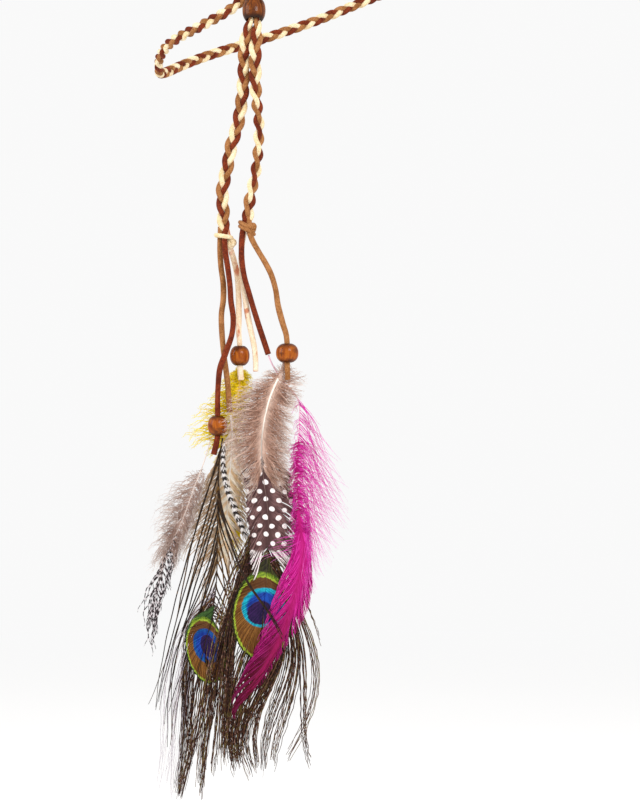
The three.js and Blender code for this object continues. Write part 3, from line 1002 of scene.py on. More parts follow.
# %% Strands along many paths
def add_strands(plume, paths, width, slot=0, root=0.0, flat=0.35, twist=0.25, tip=0.2):
    """Adds one closed strand for each path. width is in mm, at its widest."""
    count, stations, _ = paths.shape
    t = np.linspace(0, 1, stations)[None, :]
    along = unit(np.gradient(paths, axis=1))
    turn = twist * plume.random.normal(size=(count, 1))
    facing = np.stack([np.sin(turn), -np.cos(turn), 0 * turn], axis=-1)
    side = unit(np.cross(facing, along))
    front = np.cross(along, side)
    profile = 1 - (1 - tip) * t**1.6
    half = np.broadcast_to(np.reshape(width, (-1, 1)) / 2 * profile, (count, stations))
    half = half[..., None]
    ridge = paths + front * half * flat * 2
    corners = np.stack([paths + side * half, ridge, paths - side * half], axis=2)
    rung = np.arange(stations - 1)[None, :, None] * 3
    first = np.arange(count)[:, None, None] * stations * 3 + rung
    a = first + np.arange(3)
    b = first + (np.arange(3) + 1) % 3
    walls = np.stack([a, b, b + 3, a + 3], axis=-1).reshape(-1, 4)
    foot = np.arange(count)[:, None] * stations * 3
    ends = np.concatenate([foot + [2, 1, 0], foot + (stations - 1) * 3 + [0, 1, 2]])
    root = np.broadcast_to(np.reshape(root, (-1, 1)), (count, stations))
    chance = np.broadcast_to(plume.random.uniform(size=(count, 1)), (count, stations))
    strip = np.broadcast_to(plume.strips + np.arange(count)[:, None], (count, stations))
    reach = reach_of(paths)
    t = np.broadcast_to(t, (count, stations))
    three = [np.repeat(v[..., None], 3, axis=2) for v in (t, reach, root, chance, strip)]
    across = np.array([LEFT_EDGE, MIDDLE, RIGHT_EDGE])
    plume.keep(corners, [walls, ends], slot, three[:4], three[4], across, three[0])
    plume.strips += count
    return {"paths": paths, "along": along, "side": side, "front": front, "slot": slot,
            "values": np.stack([t, reach, root, chance, strip], axis=-1)}


print("triangles in a strand of twelve stations:", 6 * 11 + 2)

# %% [markdown]
# ## Barbules
#
# Down is fuzzy because every barb has finer hairs of its own, the barbules. Each is a
# thin spike with a base of three corners. It leaves its barb at an angle, to one side
# or the other, and they get shorter towards the barb's tip.

# %% Spikes along the strands
BARBULE_FACES = [[0, 1, 3], [1, 2, 3], [2, 0, 3], [2, 1, 0]]
TIP_RISE = 0.03


def add_barbules(plume, tress, number, length, width, angle=0.8, start=0.05, spread=0.3):
    """Adds thin spikes along strands that are already there."""
    random = plume.random
    count, stations, _ = tress["paths"].shape
    strand = random.integers(0, count, number)
    spot = random.uniform(start, 0.999, number) * (stations - 1)
    low_spot = spot.astype(int)
    share = (spot - low_spot)[:, None]

    def between(array):
        return array[strand, low_spot] * (1 - share) + array[strand, low_spot + 1] * share

    foot, along, side = (between(tress[name]) for name in ("paths", "along", "side"))
    front, values = between(tress["front"]), between(tress["values"])
    hand = random.choice([-1.0, 1.0], (number, 1))
    out = along * math.cos(angle) + side * hand * math.sin(angle)
    out = unit(out + front * random.normal(size=(number, 1)) * spread)
    size = length * random.uniform(0.45, 1, (number, 1)) * (1 - 0.45 * values[:, :1])
    one = unit(np.cross(out, front + 0.01))
    two = np.cross(out, one)
    thirds = [2 * math.pi * i / 3 for i in range(3)]
    base = [foot + width / 2 * (one * math.cos(a) + two * math.sin(a)) for a in thirds]
    corners = np.stack(base + [foot + out * size], axis=1)
    first = np.arange(number)[:, None] * 4
    faces = [np.concatenate([first + f for f in BARBULE_FACES])]
    four = [np.repeat(values[:, i : i + 1], 4, axis=1) for i in range(5)]
    rise = np.array([0.0, 0.0, 0.0, 1.0]) * TIP_RISE
    across = np.array([LEFT_EDGE, MIDDLE, RIGHT_EDGE, MIDDLE])
    plume.keep(corners, faces, tress["slot"], four[:4], four[4], across, four[0] * 0.96 + rise)


print("triangles in a barbule:", len(BARBULE_FACES))

# %% [markdown]
# ## The shaft
#
# The shaft is the one round part of a feather. It tapers from the quill to the tip, so
# an oval swept along a line, with a closed end, does for it.

# %% The shaft of a feather
SHAFT_SIDES = 8
SHAFT_STEP = 0.8
SHAFT_WRAP = 7.9


def add_shaft(plume, line, thick, slot, end=0.25):
    """Adds the shaft as one tapering strand, on a strip of its own."""
    taper = np.linspace(1, end, len(line)) * thick / 2
    points, faces, turn = sweep(line, VIEWER + 0.1, taper, taper, SHAFT_SIDES)
    reach = np.repeat(distances_along(line), SHAFT_SIDES)
    t = reach / reach[-1]
    values = [t, reach, reach, 0.5 + 0 * t]
    across = LEFT_EDGE + turn / SHAFT_WRAP
    plume.keep(points, faces[:1], slot, values, plume.strips + 0 * t, across, t)
    caps = [f + plume.size - len(points) for f in (faces[1][:1], faces[1][1:])]
    plume.faces += caps
    plume.slots += [np.full(1, slot), np.full(1, slot)]
    plume.strips += 1


print("sides of a shaft:", SHAFT_SIDES, "and a ring every", SHAFT_STEP, "mm at most")

# %% [markdown]
# ## Roots on the shaft and tips on the edge
#
# Most barbs here follow one rule: they leave the shaft at an angle, fall a little, and
# end on the feather's edge. side_barbs() works that out for any share of the shaft.
# Where barbs fall short of that rule or pass it, stretched() changes their length.

# %% Barbs from the shaft to the edge
PULL_OUT = 0.38
PULL_IN = 0.34


def side_barbs(plume, blade, line, distance, side, drop, out=0.7, arrive=0.4, reach=(0.9, 1.0),
               depth=0.6, stations=12):
    """Paths from the shaft line to the blade's edge. Angles are from straight down."""
    random = plume.random
    count = len(distance)
    root = points_on(line, distance)
    fall = np.broadcast_to(drop, count) * random.uniform(0.85, 1.15, count)
    height = root[:, 2] - fall
    share = random.uniform(*reach, count)
    x = root[:, 0] + (blade.edge(height, side) - root[:, 0]) * share
    y = blade.depth_at(height) + depth * random.normal(size=count)
    tip = np.stack([x, y, height], axis=1)
    length = np.linalg.norm(tip - root, axis=1, keepdims=True)
    out = np.broadcast_to(out, count)
    arrive = np.broadcast_to(arrive, count)
    leave = np.stack([side * np.sin(out), 0 * out, -np.cos(out)], axis=1)
    come = np.stack([side * np.sin(arrive), 0 * arrive, -np.cos(arrive)], axis=1)
    leaving = root + leave * length * PULL_OUT
    coming = tip - come * length * PULL_IN
    return bend(root, leaving, coming, tip, stations)


def stretched(paths, size):
    """The same paths, each size times as long and from the same root."""
    root = paths[:, :1]
    return root + (paths - root) * size[:, None, None]


def both_sides(count):
    """Left and right in turn."""
    return np.where(np.arange(count) % 2 == 0, -1.0, 1.0)


print("sides of the first four barbs:", both_sides(4))

# %% [markdown]
# ## Finishes for plumage
#
# Down is one dye in clumps of two shades, with paler tips and a shade for each barb.
# A vane is closer to a fabric: its barbs lie side by side, and a pattern runs across
# them. The patterns are drawn by distance along the shaft and along each barb, which
# the mesh carries, so they follow the feather however it bends.


# %% Finishes for down and shafts
def down(name, deep, middle, pale, heart=None, clump=220):
    """Soft down in clumps of two shades, pale at the tips and heart at the shaft."""
    material, wire, shader = new_finish(name, Sheen_Weight=0.06, Specular_IOR_Level=0.12)
    along = value_of(wire, "along")
    chance = value_of(wire, "chance")
    shade = ramp_up(noise(wire, clump, 2) * 0.7 + chance * 0.3, 0.34, 0.66)
    dye = blend(shade, colour(deep), colour(middle))
    if heart:
        dye = blend(ramp_up(along, 0.0, 0.3), colour(heart), dye)
    dye = blend(ramp_up(along * 0.8 + chance * 0.35, 0.6, 1.1), dye, colour(pale))
    lay(shader, "Base Color", dye)
    lay(shader, "Roughness", 0.75 + 0.15 * chance)
    return material


def quill(name, dark, light, turn=(0.3, 0.95)):
    """A horny shaft: smooth, slightly glossy, and dark at its tip."""
    material, wire, shader = new_finish(name, Specular_IOR_Level=0.3)
    along = value_of(wire, "along")
    streaks = noise(wire, 1500, 2, (1, 1, 0.1))
    dye = blend(ramp_up(along * 0.7 + streaks * 0.4, *turn), colour(light), colour(dark))
    lay(shader, "Base Color", dye)
    lay(shader, "Roughness", 0.3 + streaks * 0.25)
    return material


ivory_quill = quill("ivory quill", "d8c6b2", "fdf6ec")
dark_quill = quill("dark quill", "241a12", "b9a78f")
print("shared quill finishes:", ivory_quill.name, dark_quill.name)

# %% [markdown]
# ## The guinea-fowl feather
#
# The front feather has two halves. The upper half is grey-brown down that stands out
# from an ivory shaft. The lower half is a dark vane with rows of round white dots, and
# at its tip the barbs part into white and dark stripes. The dots stay round and keep
# to rows across the whole vane, and each second row is set over by half a step, so
# they are drawn by place and not along the barbs.

# %% Finish of the dotted vane
DOT_ROW = 4.5
DOT_STEP = 6.6
DOT_RADIUS = 1.38
DOT_MIDDLE = (-37.6, -284.0)
STRIPE_START = -304.5


def place_mm(wire):
    """The x and z of each point, in mm, as two wires."""
    place = wire.node("ShaderNodeTexCoord", out=3)
    x = place.node("ShaderNodeSeparateXYZ", None, {0: place})
    z = Wire(wire.tree, x.socket.node.outputs[2])
    return x * 1000, z * 1000


def dotted_vane(name, dark, mid, pale):
    """A dark vane with staggered white dots, and white and dark barbs at its tip."""
    material, wire, shader = new_finish(name, Specular_IOR_Level=0.15)
    reach = value_of(wire, "reach")
    chance = value_of(wire, "chance")
    x, z = place_mm(wire)
    wobble = noise(wire, 500, 2)
    across = x - DOT_MIDDLE[0] + (noise(wire, 120, 1) - 0.5) * 3
    bow = wire.math("ABSOLUTE", across) * 0.1
    row = (z - DOT_MIDDLE[1] + bow + (noise(wire, 110, 1) - 0.5) * 3) / DOT_ROW
    whole = wire.math("FLOOR", row)
    step = across / DOT_STEP + (whole % 2.0) * 0.5
    up = (row - whole - 0.5) * DOT_ROW
    out = (step - wire.math("FLOOR", step) - 0.5) * DOT_STEP
    apart = wire.math("SQRT", up * up * 1.25 + out * out)
    dots = 1 - ramp_up(apart + wobble * 0.5, DOT_RADIUS + 0.15, DOT_RADIUS + 0.4)
    shade = ramp_up(noise(wire, 260, 3) * 0.7 + chance * 0.3, 0.3, 0.7)
    ground = blend(shade * ramp_up(reach, 0, 9), colour(dark), colour(mid))
    fringe = 1 - ramp_up(z + wobble * 3, STRIPE_START, STRIPE_START + 3)
    look = blend(dots * (1 - fringe), ground, colour(pale))
    look = blend(fringe * ramp_up(chance, 0.48, 0.54), look, colour(pale))
    lay(shader, "Base Color", look)
    lay(shader, "Roughness", 0.5 + 0.3 * wobble)
    return material


guinea_down = down("guinea down", "a67c68", "d2aa96", "f0e0d4", heart="dcc0b0")
guinea_quill = quill("guinea quill", "6a504a", "efe6da", (0.28, 0.66))
guinea_vane = dotted_vane("guinea vane", "483030", "846260", "f0e8e6")
print("dots of", 2 * DOT_RADIUS, "mm, every", DOT_STEP, "mm")

# %% Build the guinea-fowl feather
DOWN_LENGTH = 57.0
VANE_START = 50.0
VANE_END = 97.5
blade = blades["guinea_feather"]
line = smooth_route([
    (-27.3, -74.2, -206.8), (-32.3, -75.2, -216), (-36.3, -76.6, -226.5),
    (-38.6, -77.4, -237), (-39.8, -77.6, -247.2), (-39.6, -77.3, -256.5),
    (-38.6, -77, -268), (-37, -77, -278.5), (-36.3, -77, -291), (-37, -77, -303.5),
], SHAFT_STEP)
plume = Plume(11)
random = plume.random
count = 1250
distance = DOWN_LENGTH * random.uniform(size=count) ** 0.85
side = both_sides(count)
lower = distance / DOWN_LENGTH
drop = np.interp(distance, [0, 9, DOWN_LENGTH], [-6, 5, 12]) + random.normal(0, 2.5, count)
size = np.interp(distance, [0, 14, 30], [1.3, 1.2, 1.12])
paths = side_barbs(
    plume, blade, line, distance, side, drop, 0.8 - 0.3 * lower, 1.5 - 0.9 * lower, (0.5, 1), 1.6, 9
)
paths = stretched(paths, size)
paths[:, :, 1] -= np.linspace(0, 1.2, 9) * lower[:, None]
fluff = add_strands(plume, ripple(paths, random, 1.4, 11), 0.34, 0, distance, twist=0.6)
add_barbules(plume, fluff, 21000, 2.9, 0.1, 0.65)
count = 300
distance = np.linspace(VANE_START, VANE_END, count)
side = both_sides(count)
drop = np.interp(distance, [VANE_START, 80, VANE_END], [11, 15, 17])
paths = side_barbs(plume, blade, line, distance, side, drop, 0.72, 0.5, (0.92, 1.02), 0.2, 14)
vane = add_strands(plume, ripple(paths, random, 0.12, 12), 0.85, 1, distance, twist=0.06, tip=0.5)
add_barbules(plume, vane, 3000, 0.8, 0.08)
add_shaft(plume, line[10:] + [0, -0.2, 0], 1.1, 2, 0.1)
plume.piece(
    "guinea_plume", "guinea_feather", "guinea_plumage", [guinea_down, guinea_vane, guinea_quill]
)

# %% [markdown]
# ## The magenta feather
#
# This one is dyed right through. Its quill passes behind the guinea-fowl down and
# comes out to the front. Above, loose down sweeps out to the right, pink where it is
# thin. Below, the barbs close into a curved vane like a sickle, which splits over the
# eye behind it and darkens to crimson at the tip.

# %% Finish of the magenta feather
CRIMSON_START = 122.0
CRIMSON_END = 172.0


def dyed_vane(name):
    """Magenta that deepens to crimson down the shaft, with a pale edge to some barbs."""
    material, wire, shader = new_finish(name, Specular_IOR_Level=0.15)
    root = value_of(wire, "root")
    chance = value_of(wire, "chance")
    along = value_of(wire, "along")
    depth = ramp_up(root + noise(wire, 90, 2) * 14, CRIMSON_START, CRIMSON_END)
    dye = blend(depth, colour("b00874"), colour("56001c"))
    light = ramp_up(chance + noise(wire, 300, 2) * 0.5, 0.75, 1.15)
    dye = blend(light * (1 - depth * 0.8) * 0.7, dye, colour("e43cae"))
    dye = blend(ramp_up(along, 0.0, 0.4) * 0.6 + 0.4, colour("9c0054"), dye)
    lay(shader, "Base Color", dye)
    lay(shader, "Roughness", 0.42 + 0.25 * chance)
    return material


magenta_vane = dyed_vane("magenta vane")
pink_down = down("pink down", "d41c9e", "ea4cbe", "f79adf")
pink_quill = quill("pink quill", "a00068", "f0c8d8")
print("finishes of the magenta feather:", magenta_vane.name, pink_down.name, pink_quill.name)

# %% Build the magenta feather
blade = blades["magenta_feather"]
line = smooth_route([
    (-36.3, -72, -201.4), (-35.2, -71.4, -204.5), (-29.6, -70, -214),
    (-20.6, -70.6, -225), (-20.0, -74.5, -236), (-20.7, -79, -248),
    (-20.9, -81.4, -262), (-20.7, -82.2, -277), (-19.6, -82.4, -290),
    (-17.8, -82.4, -300), (-19.4, -82.4, -313), (-21.4, -82.4, -322),
    (-25.9, -82.3, -337.6), (-29.7, -82.1, -347), (-33.6, -82, -355),
    (-39.8, -81.7, -365), (-46.8, -81.4, -376.5), (-53.4, -81, -386.5),
], SHAFT_STEP)
length = distances_along(line)[-1]
plume = Plume(23)
random = plume.random
count = 380
distance = 26 + 84 * random.beta(1.7, 1.3, count)
side = np.where(random.uniform(size=count) < 0.78, 1.0, -1.0)
drop = np.where(side > 0, random.uniform(12, 42, count), random.uniform(2, 9, count))
paths = side_barbs(plume, blade, line, distance, side, drop, 0.85, 0.65, (0.35, 1.2), 1.6, 16)
start_x = paths[:, :1, 0]
paths[:, :, 0] = start_x + (paths[:, :, 0] - start_x) * np.where(side < 0, 2.4, 1.0)[:, None]
wisps = add_strands(plume, ripple(paths, random, 0.7, 20), 0.22, 1, distance, twist=0.5)
add_barbules(plume, wisps, 8000, 1.6, 0.06, 0.4)
count = 300
distance = random.uniform(52, 100, count)
side = both_sides(count)
paths = side_barbs(plume, blade, line, distance, side, 2.6, 1.2, 0.2, (0.08, 0.26), 1.0, 7)
spill = np.where(side < 0, random.uniform(0.5, 5, count), 0)
paths[:, :, 0] -= spill[:, None] * np.linspace(0, 1, 7)
tufts = add_strands(plume, ripple(paths, random, 1.1, 4), 0.5, 0, distance, twist=0.9)
add_barbules(plume, tufts, 5000, 1.6, 0.1, 0.9)

# %% [markdown]
# The closed part of the vane is laid last. Its barbs leave nearly along the shaft, so
# the vane narrows to a point. Over the eye they cling in locks: the tips of each lock
# are drawn towards its middle, which opens a notch between it and the next.

# %% Close the magenta vane
LOCK_LENGTH = 9.0
OVER_THE_EYE = 146.0
heights = [-387, -381, -373, -362, -351, -345, -334, -323, -312, -304, -296]
left_edge = [-55.2, -55.7, -52, -46.5, -42.5, -40, -36.5, -31.5, -25, -21.5, -19]
right_edge = [-54.1, -47.5, -39.3, -32.2, -24.9, -20.5, -15, -13, -13.2, -14.5, -16]
closed = Blade(heights, left_edge, right_edge, blade.depth_at(np.array(heights, float)))
print("the closed vane is", right_edge[5] - left_edge[5], "mm wide at its middle")


def line_x(paths):
    """Where the shaft lies, in x, at the height of each station."""
    return np.interp(-paths[:, :, 2], -line[:, 2], line[:, 0])


count = 560
distance = np.linspace(88, length - 1, count)
side = both_sides(count)
middle = (np.floor(distance / LOCK_LENGTH) + 0.5) * LOCK_LENGTH
clinging = (distance < OVER_THE_EYE) & (side < 0)
gather = np.where(clinging, 0.85, 0.2)
drop = np.minimum(25 - gather * (distance - middle), 0.9 * (length - distance) + 1)
paths = side_barbs(plume, closed, line, distance, side, drop, 0.3, 0.3, (0.95, 1.0), 0.35, 13)
short = np.where(clinging, random.uniform(0.6, 1, count), 1)
paths[:, :, 0] = line_x(paths) + (paths[:, :, 0] - line_x(paths)) * short[:, None]
vane = add_strands(plume, ripple(paths, random, 0.12, 16), 0.62, 0, distance, twist=0.12, tip=0.3)
add_barbules(plume, vane, 2000, 0.9, 0.07, 0.3)
add_shaft(plume, line + [0, 0.5, 0], 0.9, 2, 0.2)
plume.piece(
    "magenta_plume", "magenta_feather", "magenta_plumage", [magenta_vane, pink_down, pink_quill]
)

# %% [markdown]
# ## The eye of a peacock feather
#
# The eye is an oval vane of tight barbs. Its colours are rings that ignore the barbs:
# a yellow-green rim, a bronze field, a turquoise and blue oval, and a dark heart. So
# the rings are drawn by distance from the eye's middle, and only the shade varies
# from barb to barb. The colour comes from the barbs' structure, so it has some of
# the gloss of metal.


# %% Finish of the eye
def oval(wire, x, z, middle, half, tip=0.0):
    """1 on an oval's outline, less inside: the distance from middle, by half sizes."""
    across = (x - middle[0]) * math.cos(tip) + (z - middle[1]) * math.sin(tip)
    up = (z - middle[1]) * math.cos(tip) - (x - middle[0]) * math.sin(tip)
    across = across / half[0]
    up = up / half[1]
    return wire.math("SQRT", across * across + up * up)


def eye_finish(name, field, blue, heart, fringe, band):
    """Rings of colour. field, blue and heart are each middle, half sizes and tip."""
    material, wire, shader = new_finish(name, Specular_IOR_Level=0.2)
    x, z = place_mm(wire)
    chance = value_of(wire, "chance")
    ragged = (noise(wire, 700, 2) - 0.5) * 0.09 + (chance - 0.5) * 0.03
    out = oval(wire, x, z, *field) + ragged
    ring = oval(wire, x, z, *blue) + ragged
    core = oval(wire, x, z, *heart) + ragged
    grain = ramp_up(noise(wire, 1100, 2, (1, 1, 0.25)) * 0.6 + chance * 0.4, 0.3, 0.7)
    bronze = blend(grain, colour("68401a"), colour("8e602a"))
    upper = ramp_up(z, field[0][1] + 0.35 * field[1][1], field[0][1] + 0.8 * field[1][1])
    bronze = blend(upper * 0.7, bronze, colour("4a2a18"))
    olive = blend(grain, colour(fringe[0]), colour(fringe[1]))
    rim = 1 - ramp_up(wire.math("ABSOLUTE", out - 1.0), 0.015, 0.045)
    look = blend(1 - ramp_up(out, 0.96, 1.02), olive, bronze)
    look = blend(rim * 0.9, look, colour("a8bf3a"))
    high_up = ramp_up(z, field[0][1] + 0.75 * field[1][1], field[0][1] + 0.95 * field[1][1])
    crescent = 1 - ramp_up(wire.math("ABSOLUTE", out - 1.05), 0.02, 0.08)
    green = blend(grain, colour("3e5e1c"), colour("8ea62e"))
    look = blend(high_up * crescent, look, green)
    outer = blend(grain, colour(band[0]), colour(band[1]))
    look = blend(1 - ramp_up(ring, 0.98, 1.04), look, outer)
    inner = blend(grain, colour("0c2a7c"), colour("1a4eae"))
    look = blend(1 - ramp_up(ring, 0.72, 0.88), look, inner)
    inmost = blend(grain, colour("150d33"), colour("34184e"))
    look = blend(1 - ramp_up(core, 0.94, 1.05), look, inmost)
    lay(shader, "Base Color", look)
    shine = 1 - ramp_up(out, 0.9, 1.1)
    lay(shader, "Metallic", 0.05 + 0.2 * shine)
    lay(shader, "Roughness", 0.5 - 0.12 * shine + 0.1 * chance)
    return material


print("finishes so far:", len(bpy.data.materials))

# %% [markdown]
# ## The finish of loose barbs
#
# The loose barbs under an eye are dark brown, and each shows painted bronze and green
# glints and pale painted highlights that come and go along it. Every barb gets its own
# shade, so that they read as separate threads, and a fine wave along the barb gives it
# a slightly beaded look.

# %% Finish of the loose barbs
BEADED_WAVE = 2.6


def herl_finish(name, dark, brown, painted_glint, cross):
    """Loose peacock barbs: dark brown, with painted bronze and green glints and pale painted
    highlights that come and go.
    """
    material, wire, shader = new_finish(name, Specular_IOR_Level=0.2)
    chance = value_of(wire, "chance")
    reach = value_of(wire, "reach")
    beads = wire.math("SINE", reach * BEADED_WAVE + chance * 40) * 0.5 + 0.5
    patch = noise(wire, 420, 3)
    shade = beads * 0.18 + patch * 0.42 + chance * 0.4
    dye = blend(ramp_up(shade, 0.3, 0.72), colour(dark), colour(brown))
    # painted glints: bronze-green reflections laid into the colour by noise
    dye = blend(ramp_up(patch + chance * 0.35, 0.7, 0.95) * 0.8, dye, colour(painted_glint))
    # painted highlights: pale specks laid into the colour by noise
    dye = blend(ramp_up(noise(wire, 700, 2) + chance * 0.15, 0.66, 0.8) * 0.6, dye, colour(cross))
    lay(shader, "Base Color", dye)
    lay(shader, "Metallic", 0.15 * patch)
    lay(shader, "Roughness", 0.42 + 0.3 * beads)
    return material


print("a barb gets darker and lighter every", round(2 * math.pi / BEADED_WAVE, 1), "mm")

# %% [markdown]
# ## Where the rings of the two eyes lie
#
# Each oval is its middle, its half width and half height, all in mm, and how far it is
# tipped. The rear eye is turned a little away, so it is narrower.

# %% Finishes of the two peacock feathers
front_eye = ((-39.5, -338.9), (14.6, 21.5), 0.0)
front_blue = ((-38.6, -334.0), (11.6, 10.4), 0.0)
front_heart = ((-40.6, -336.6), (6.9, 6.2), 0.25)
rear_eye = ((-69.2, -357.0), (9.6, 16.6), 0.22)
rear_blue = ((-69.0, -354.6), (6.6, 9.4), 0.34)
rear_heart = ((-68.2, -354.6), (3.7, 6.2), 0.34)
front_eye_finish = eye_finish(
    "front peacock eye", front_eye, front_blue, front_heart,
    ("1a1510", "44441f"), ("087f9c", "1cb4c6"),
)
rear_eye_finish = eye_finish(
    "rear peacock eye", rear_eye, rear_blue, rear_heart,
    ("1a2a16", "3a5a28"), ("0f3c84", "1864a2"),
)
# the last two colours of each herl are a painted glint and a painted highlight
herl = herl_finish("peacock herl", "26140e", "643c2c", "6a6228", "b48e7e")
thin_herl = herl_finish("thin peacock herl", "1c120c", "3e2a1a", "74501c", "4e3220")
pale_herl = herl_finish("pale peacock herl", "a89aa6", "d8cdd6", "c9bcae", "efe8ee")
print("eye middles, in mm:", front_eye[0], rear_eye[0])

# %% [markdown]
# ## Herl that falls in locks
#
# The long loose barbs below and beside the eye are called herl. They cling together,
# so they fall in locks with gaps between, and each lock ends in a small brush. It is
# easiest to say where a lock passes, at a third and two thirds of its way, and where
# it ends. Its barbs come from many roots and scatter a little round that course.


# %% Make locks of herl
def through(start, first, second, end):
    """Pulls of the curve that passes first at a third and second at two thirds."""
    pull_out = (18 * first - 9 * second - 5 * start + 2 * end) / 6
    pull_in = (18 * second - 9 * first - 5 * end + 2 * start) / 6
    return pull_out, pull_in


def lock(plume, line, roots, first, second, tip, count, spread, stations=30, depth=1.2):
    """Barbs from between two distances on the shaft, by way of two places to one tip."""
    random = plume.random
    distance = random.uniform(roots[0], roots[1], count)
    root = points_on(line, distance)
    ahead = root[:, 1].mean() + 1.4
    lag = random.normal(size=(count, 1)) * [0, 0, 1]
    away = random.normal(size=(count, 3)) * [spread, depth, spread]

    def near(place, share, late):
        return np.array([place[0], ahead, place[1]]) + away * share + lag * late

    first, second, tip = near(first, 1.3, 1), near(second, 1.2, 1), near(tip, 0.7, 3)
    return distance, bend(root, *through(root, first, second, tip), tip, stations)


print("pulls of a curve with even steps:", through(0, 1, 2, 3))

# %% [markdown]
# ## Barbs of the eye
#
# The eye's own barbs end on its outline instead. Each starts further down the shaft
# than the last and its tip is further round the oval.

# %% Make an eye vane
FAN_START = 78.0
FAN_SWEEP = 166.0


def eye_vane(plume, line, eye, start, count, width, slot):
    """Tight barbs from the shaft to the outline of the eye."""
    (x, z), half, tip_angle = eye
    random = plume.random
    side = both_sides(count)
    share = np.linspace(0, 1, count)
    distance = start + (distances_along(line)[-1] - start) * share**0.85
    root = points_on(line, distance)
    turn = math.radians(FAN_START) - math.radians(FAN_SWEEP) * share
    grow = 1.07 + random.normal(size=count) * 0.012
    across = side * half[0] * np.cos(turn) * grow
    up = half[1] * np.sin(turn) * grow
    tip_x = x + across * math.cos(tip_angle) - up * math.sin(tip_angle)
    tip_z = z + up * math.cos(tip_angle) + across * math.sin(tip_angle)
    tip = np.stack([tip_x, root[:, 1] - 1.4 + 0.2 * random.normal(size=count), tip_z], axis=1)
    size = np.linalg.norm(tip - root, axis=1, keepdims=True)
    leave = np.stack([side * 0.62, -0.3 + 0 * side, -0.75 + 0 * side], axis=1)
    paths = bend(root, root + leave * size * 0.3, tip + [0, 0, 1] * size * 0.22, tip, 18)
    add_strands(plume, paths, width, slot, distance, twist=0.08, tip=0.6, flat=0.25)
    print("eye of", count, "barbs, in mm:", 2 * half[0], "by", 2 * half[1])


# %% Build the front peacock feather
line = smooth_route([
    (-42.6, -70.7, -219), (-41.5, -71.6, -240), (-39.9, -73, -265), (-38, -74, -285),
    (-37, -74.4, -303), (-37.4, -74.6, -320), (-39.0, -74.8, -336), (-39.5, -74.8, -344),
], SHAFT_STEP)
top = distances_along(line)[-1]
FRONT_LOCKS = [
    # roots before the shaft's end, first and second place, tip, barbs, spread
    ((46, 34), (-25, -317), (-16, -333), (-9, -352), 3, 0.5),
    ((46, 30), (-17, -345), (-12, -377), (-26, -412), 8, 1.2),
    ((46, 26), (-20, -351), (-18, -385), (-15, -413), 8, 1.2),
    ((42, 22), (-22, -354), (-27, -387), (-34, -414), 12, 1.3),
    ((36, 14), (-25, -357), (-32, -384), (-39, -416), 16, 1.4),
    ((30, 10), (-29, -359), (-39, -386), (-42, -417), 18, 1.5),
    ((20, 2), (-32, -363), (-45, -389), (-45, -420), 22, 1.6),
    ((12, 0), (-39, -367), (-49, -391), (-51, -412), 24, 1.8),
    ((8, 0), (-44, -370), (-53, -391), (-54, -417), 24, 1.8),
    ((10, 0), (-46, -364), (-51, -388), (-53, -414), 20, 1.8),
    ((10, 0), (-50, -362), (-55, -383), (-59, -412), 18, 1.8),
    ((34, 22), (-53, -341), (-56, -367), (-57, -404), 14, 1.5),
    ((60, 40), (-52, -330), (-59, -368), (-61, -411), 16, 1.6),
    ((64, 46), (-51, -321), (-58, -370), (-56, -415), 13, 1.4),
    ((64, 46), (-53, -324), (-61, -374), (-66, -420), 14, 1.4),
    ((62, 44), (-54, -326), (-65, -374), (-72, -429), 15, 1.4),
    ((62, 44), (-55, -329), (-69, -376), (-83, -432), 13, 1.4),
]
plume = Plume(31)
random = plume.random
for roots, first, second, tip, count, spread in FRONT_LOCKS:
    span = (top - roots[0], top - roots[1])
    distance, paths = lock(plume, line, span, first, second, tip, count, spread)
    waved = ripple(paths, random, 0.5, 6)
    tress = add_strands(plume, waved, 0.62, 0, distance, twist=0.5, tip=0.4)
    add_barbules(plume, tress, 50 * count, 1.0, 0.1, 0.85, 0.12)
count = 110
distance = random.uniform(top - 66, top - 30, count)
side = both_sides(count)
root = points_on(line, distance)
sideways, down_by = side * random.uniform(5, 12, count), -random.uniform(14, 26, count)
tip = root + np.stack([sideways, random.normal(size=count) * 0.6, down_by], axis=1)
paths = bend(root, root + (tip - root) * [0.55, 0.3, 0.2], tip + [0, 0, 6], tip, 18)
collar = add_strands(plume, ripple(paths, random, 0.4, 5), 0.5, 0, distance, twist=0.5)
add_barbules(plume, collar, 5000, 0.9, 0.09, 0.85)
eye_vane(plume, line, front_eye, top - 38, 260, 0.8, 1)
add_shaft(plume, line, 1.0, 2, 0.3)
plume.piece(
    "front_peacock_plume", "peacock_feather_front", "peacock_plumage",
    [herl, front_eye_finish, dark_quill],
)

# %% [markdown]
# ## The rear peacock feather
#
# On the rear feather the long shaft shows. Its upper barbs are few, thin and far
# apart, like the bones of a herring, and they run a long way down. Below, the herl
# gets dense round the second eye, and its outer strands fade to a pale lilac.

# %% Barbs like the bones of a herring
line = smooth_route([
    (-60.6, -69.4, -245), (-62.4, -69.4, -258), (-63, -69.4, -275), (-63.3, -69.4, -300),
    (-63.9, -69.4, -322), (-66.2, -69.6, -340), (-69.2, -69.8, -360),
], SHAFT_STEP)
top = distances_along(line)[-1]
plume = Plume(37)
random = plume.random
BONE_STATIONS = 40
LEFT_BONES = [
    # distance down the shaft, first and second place, tip
    (5, (-77, -299), (-87, -345), (-98, -390)),
    (46, (-74, -326), (-84, -359), (-89, -398)),
    (82, (-70, -345), (-79, -373), (-82, -404)),
]
RIGHT_BONES = [
    (24, (-59, -288), (-53, -305), (-48, -325)),
    (52, (-60, -310), (-57, -322), (-53, -334)),
    (84, (-61, -334), (-58, -342), (-55, -352)),
]


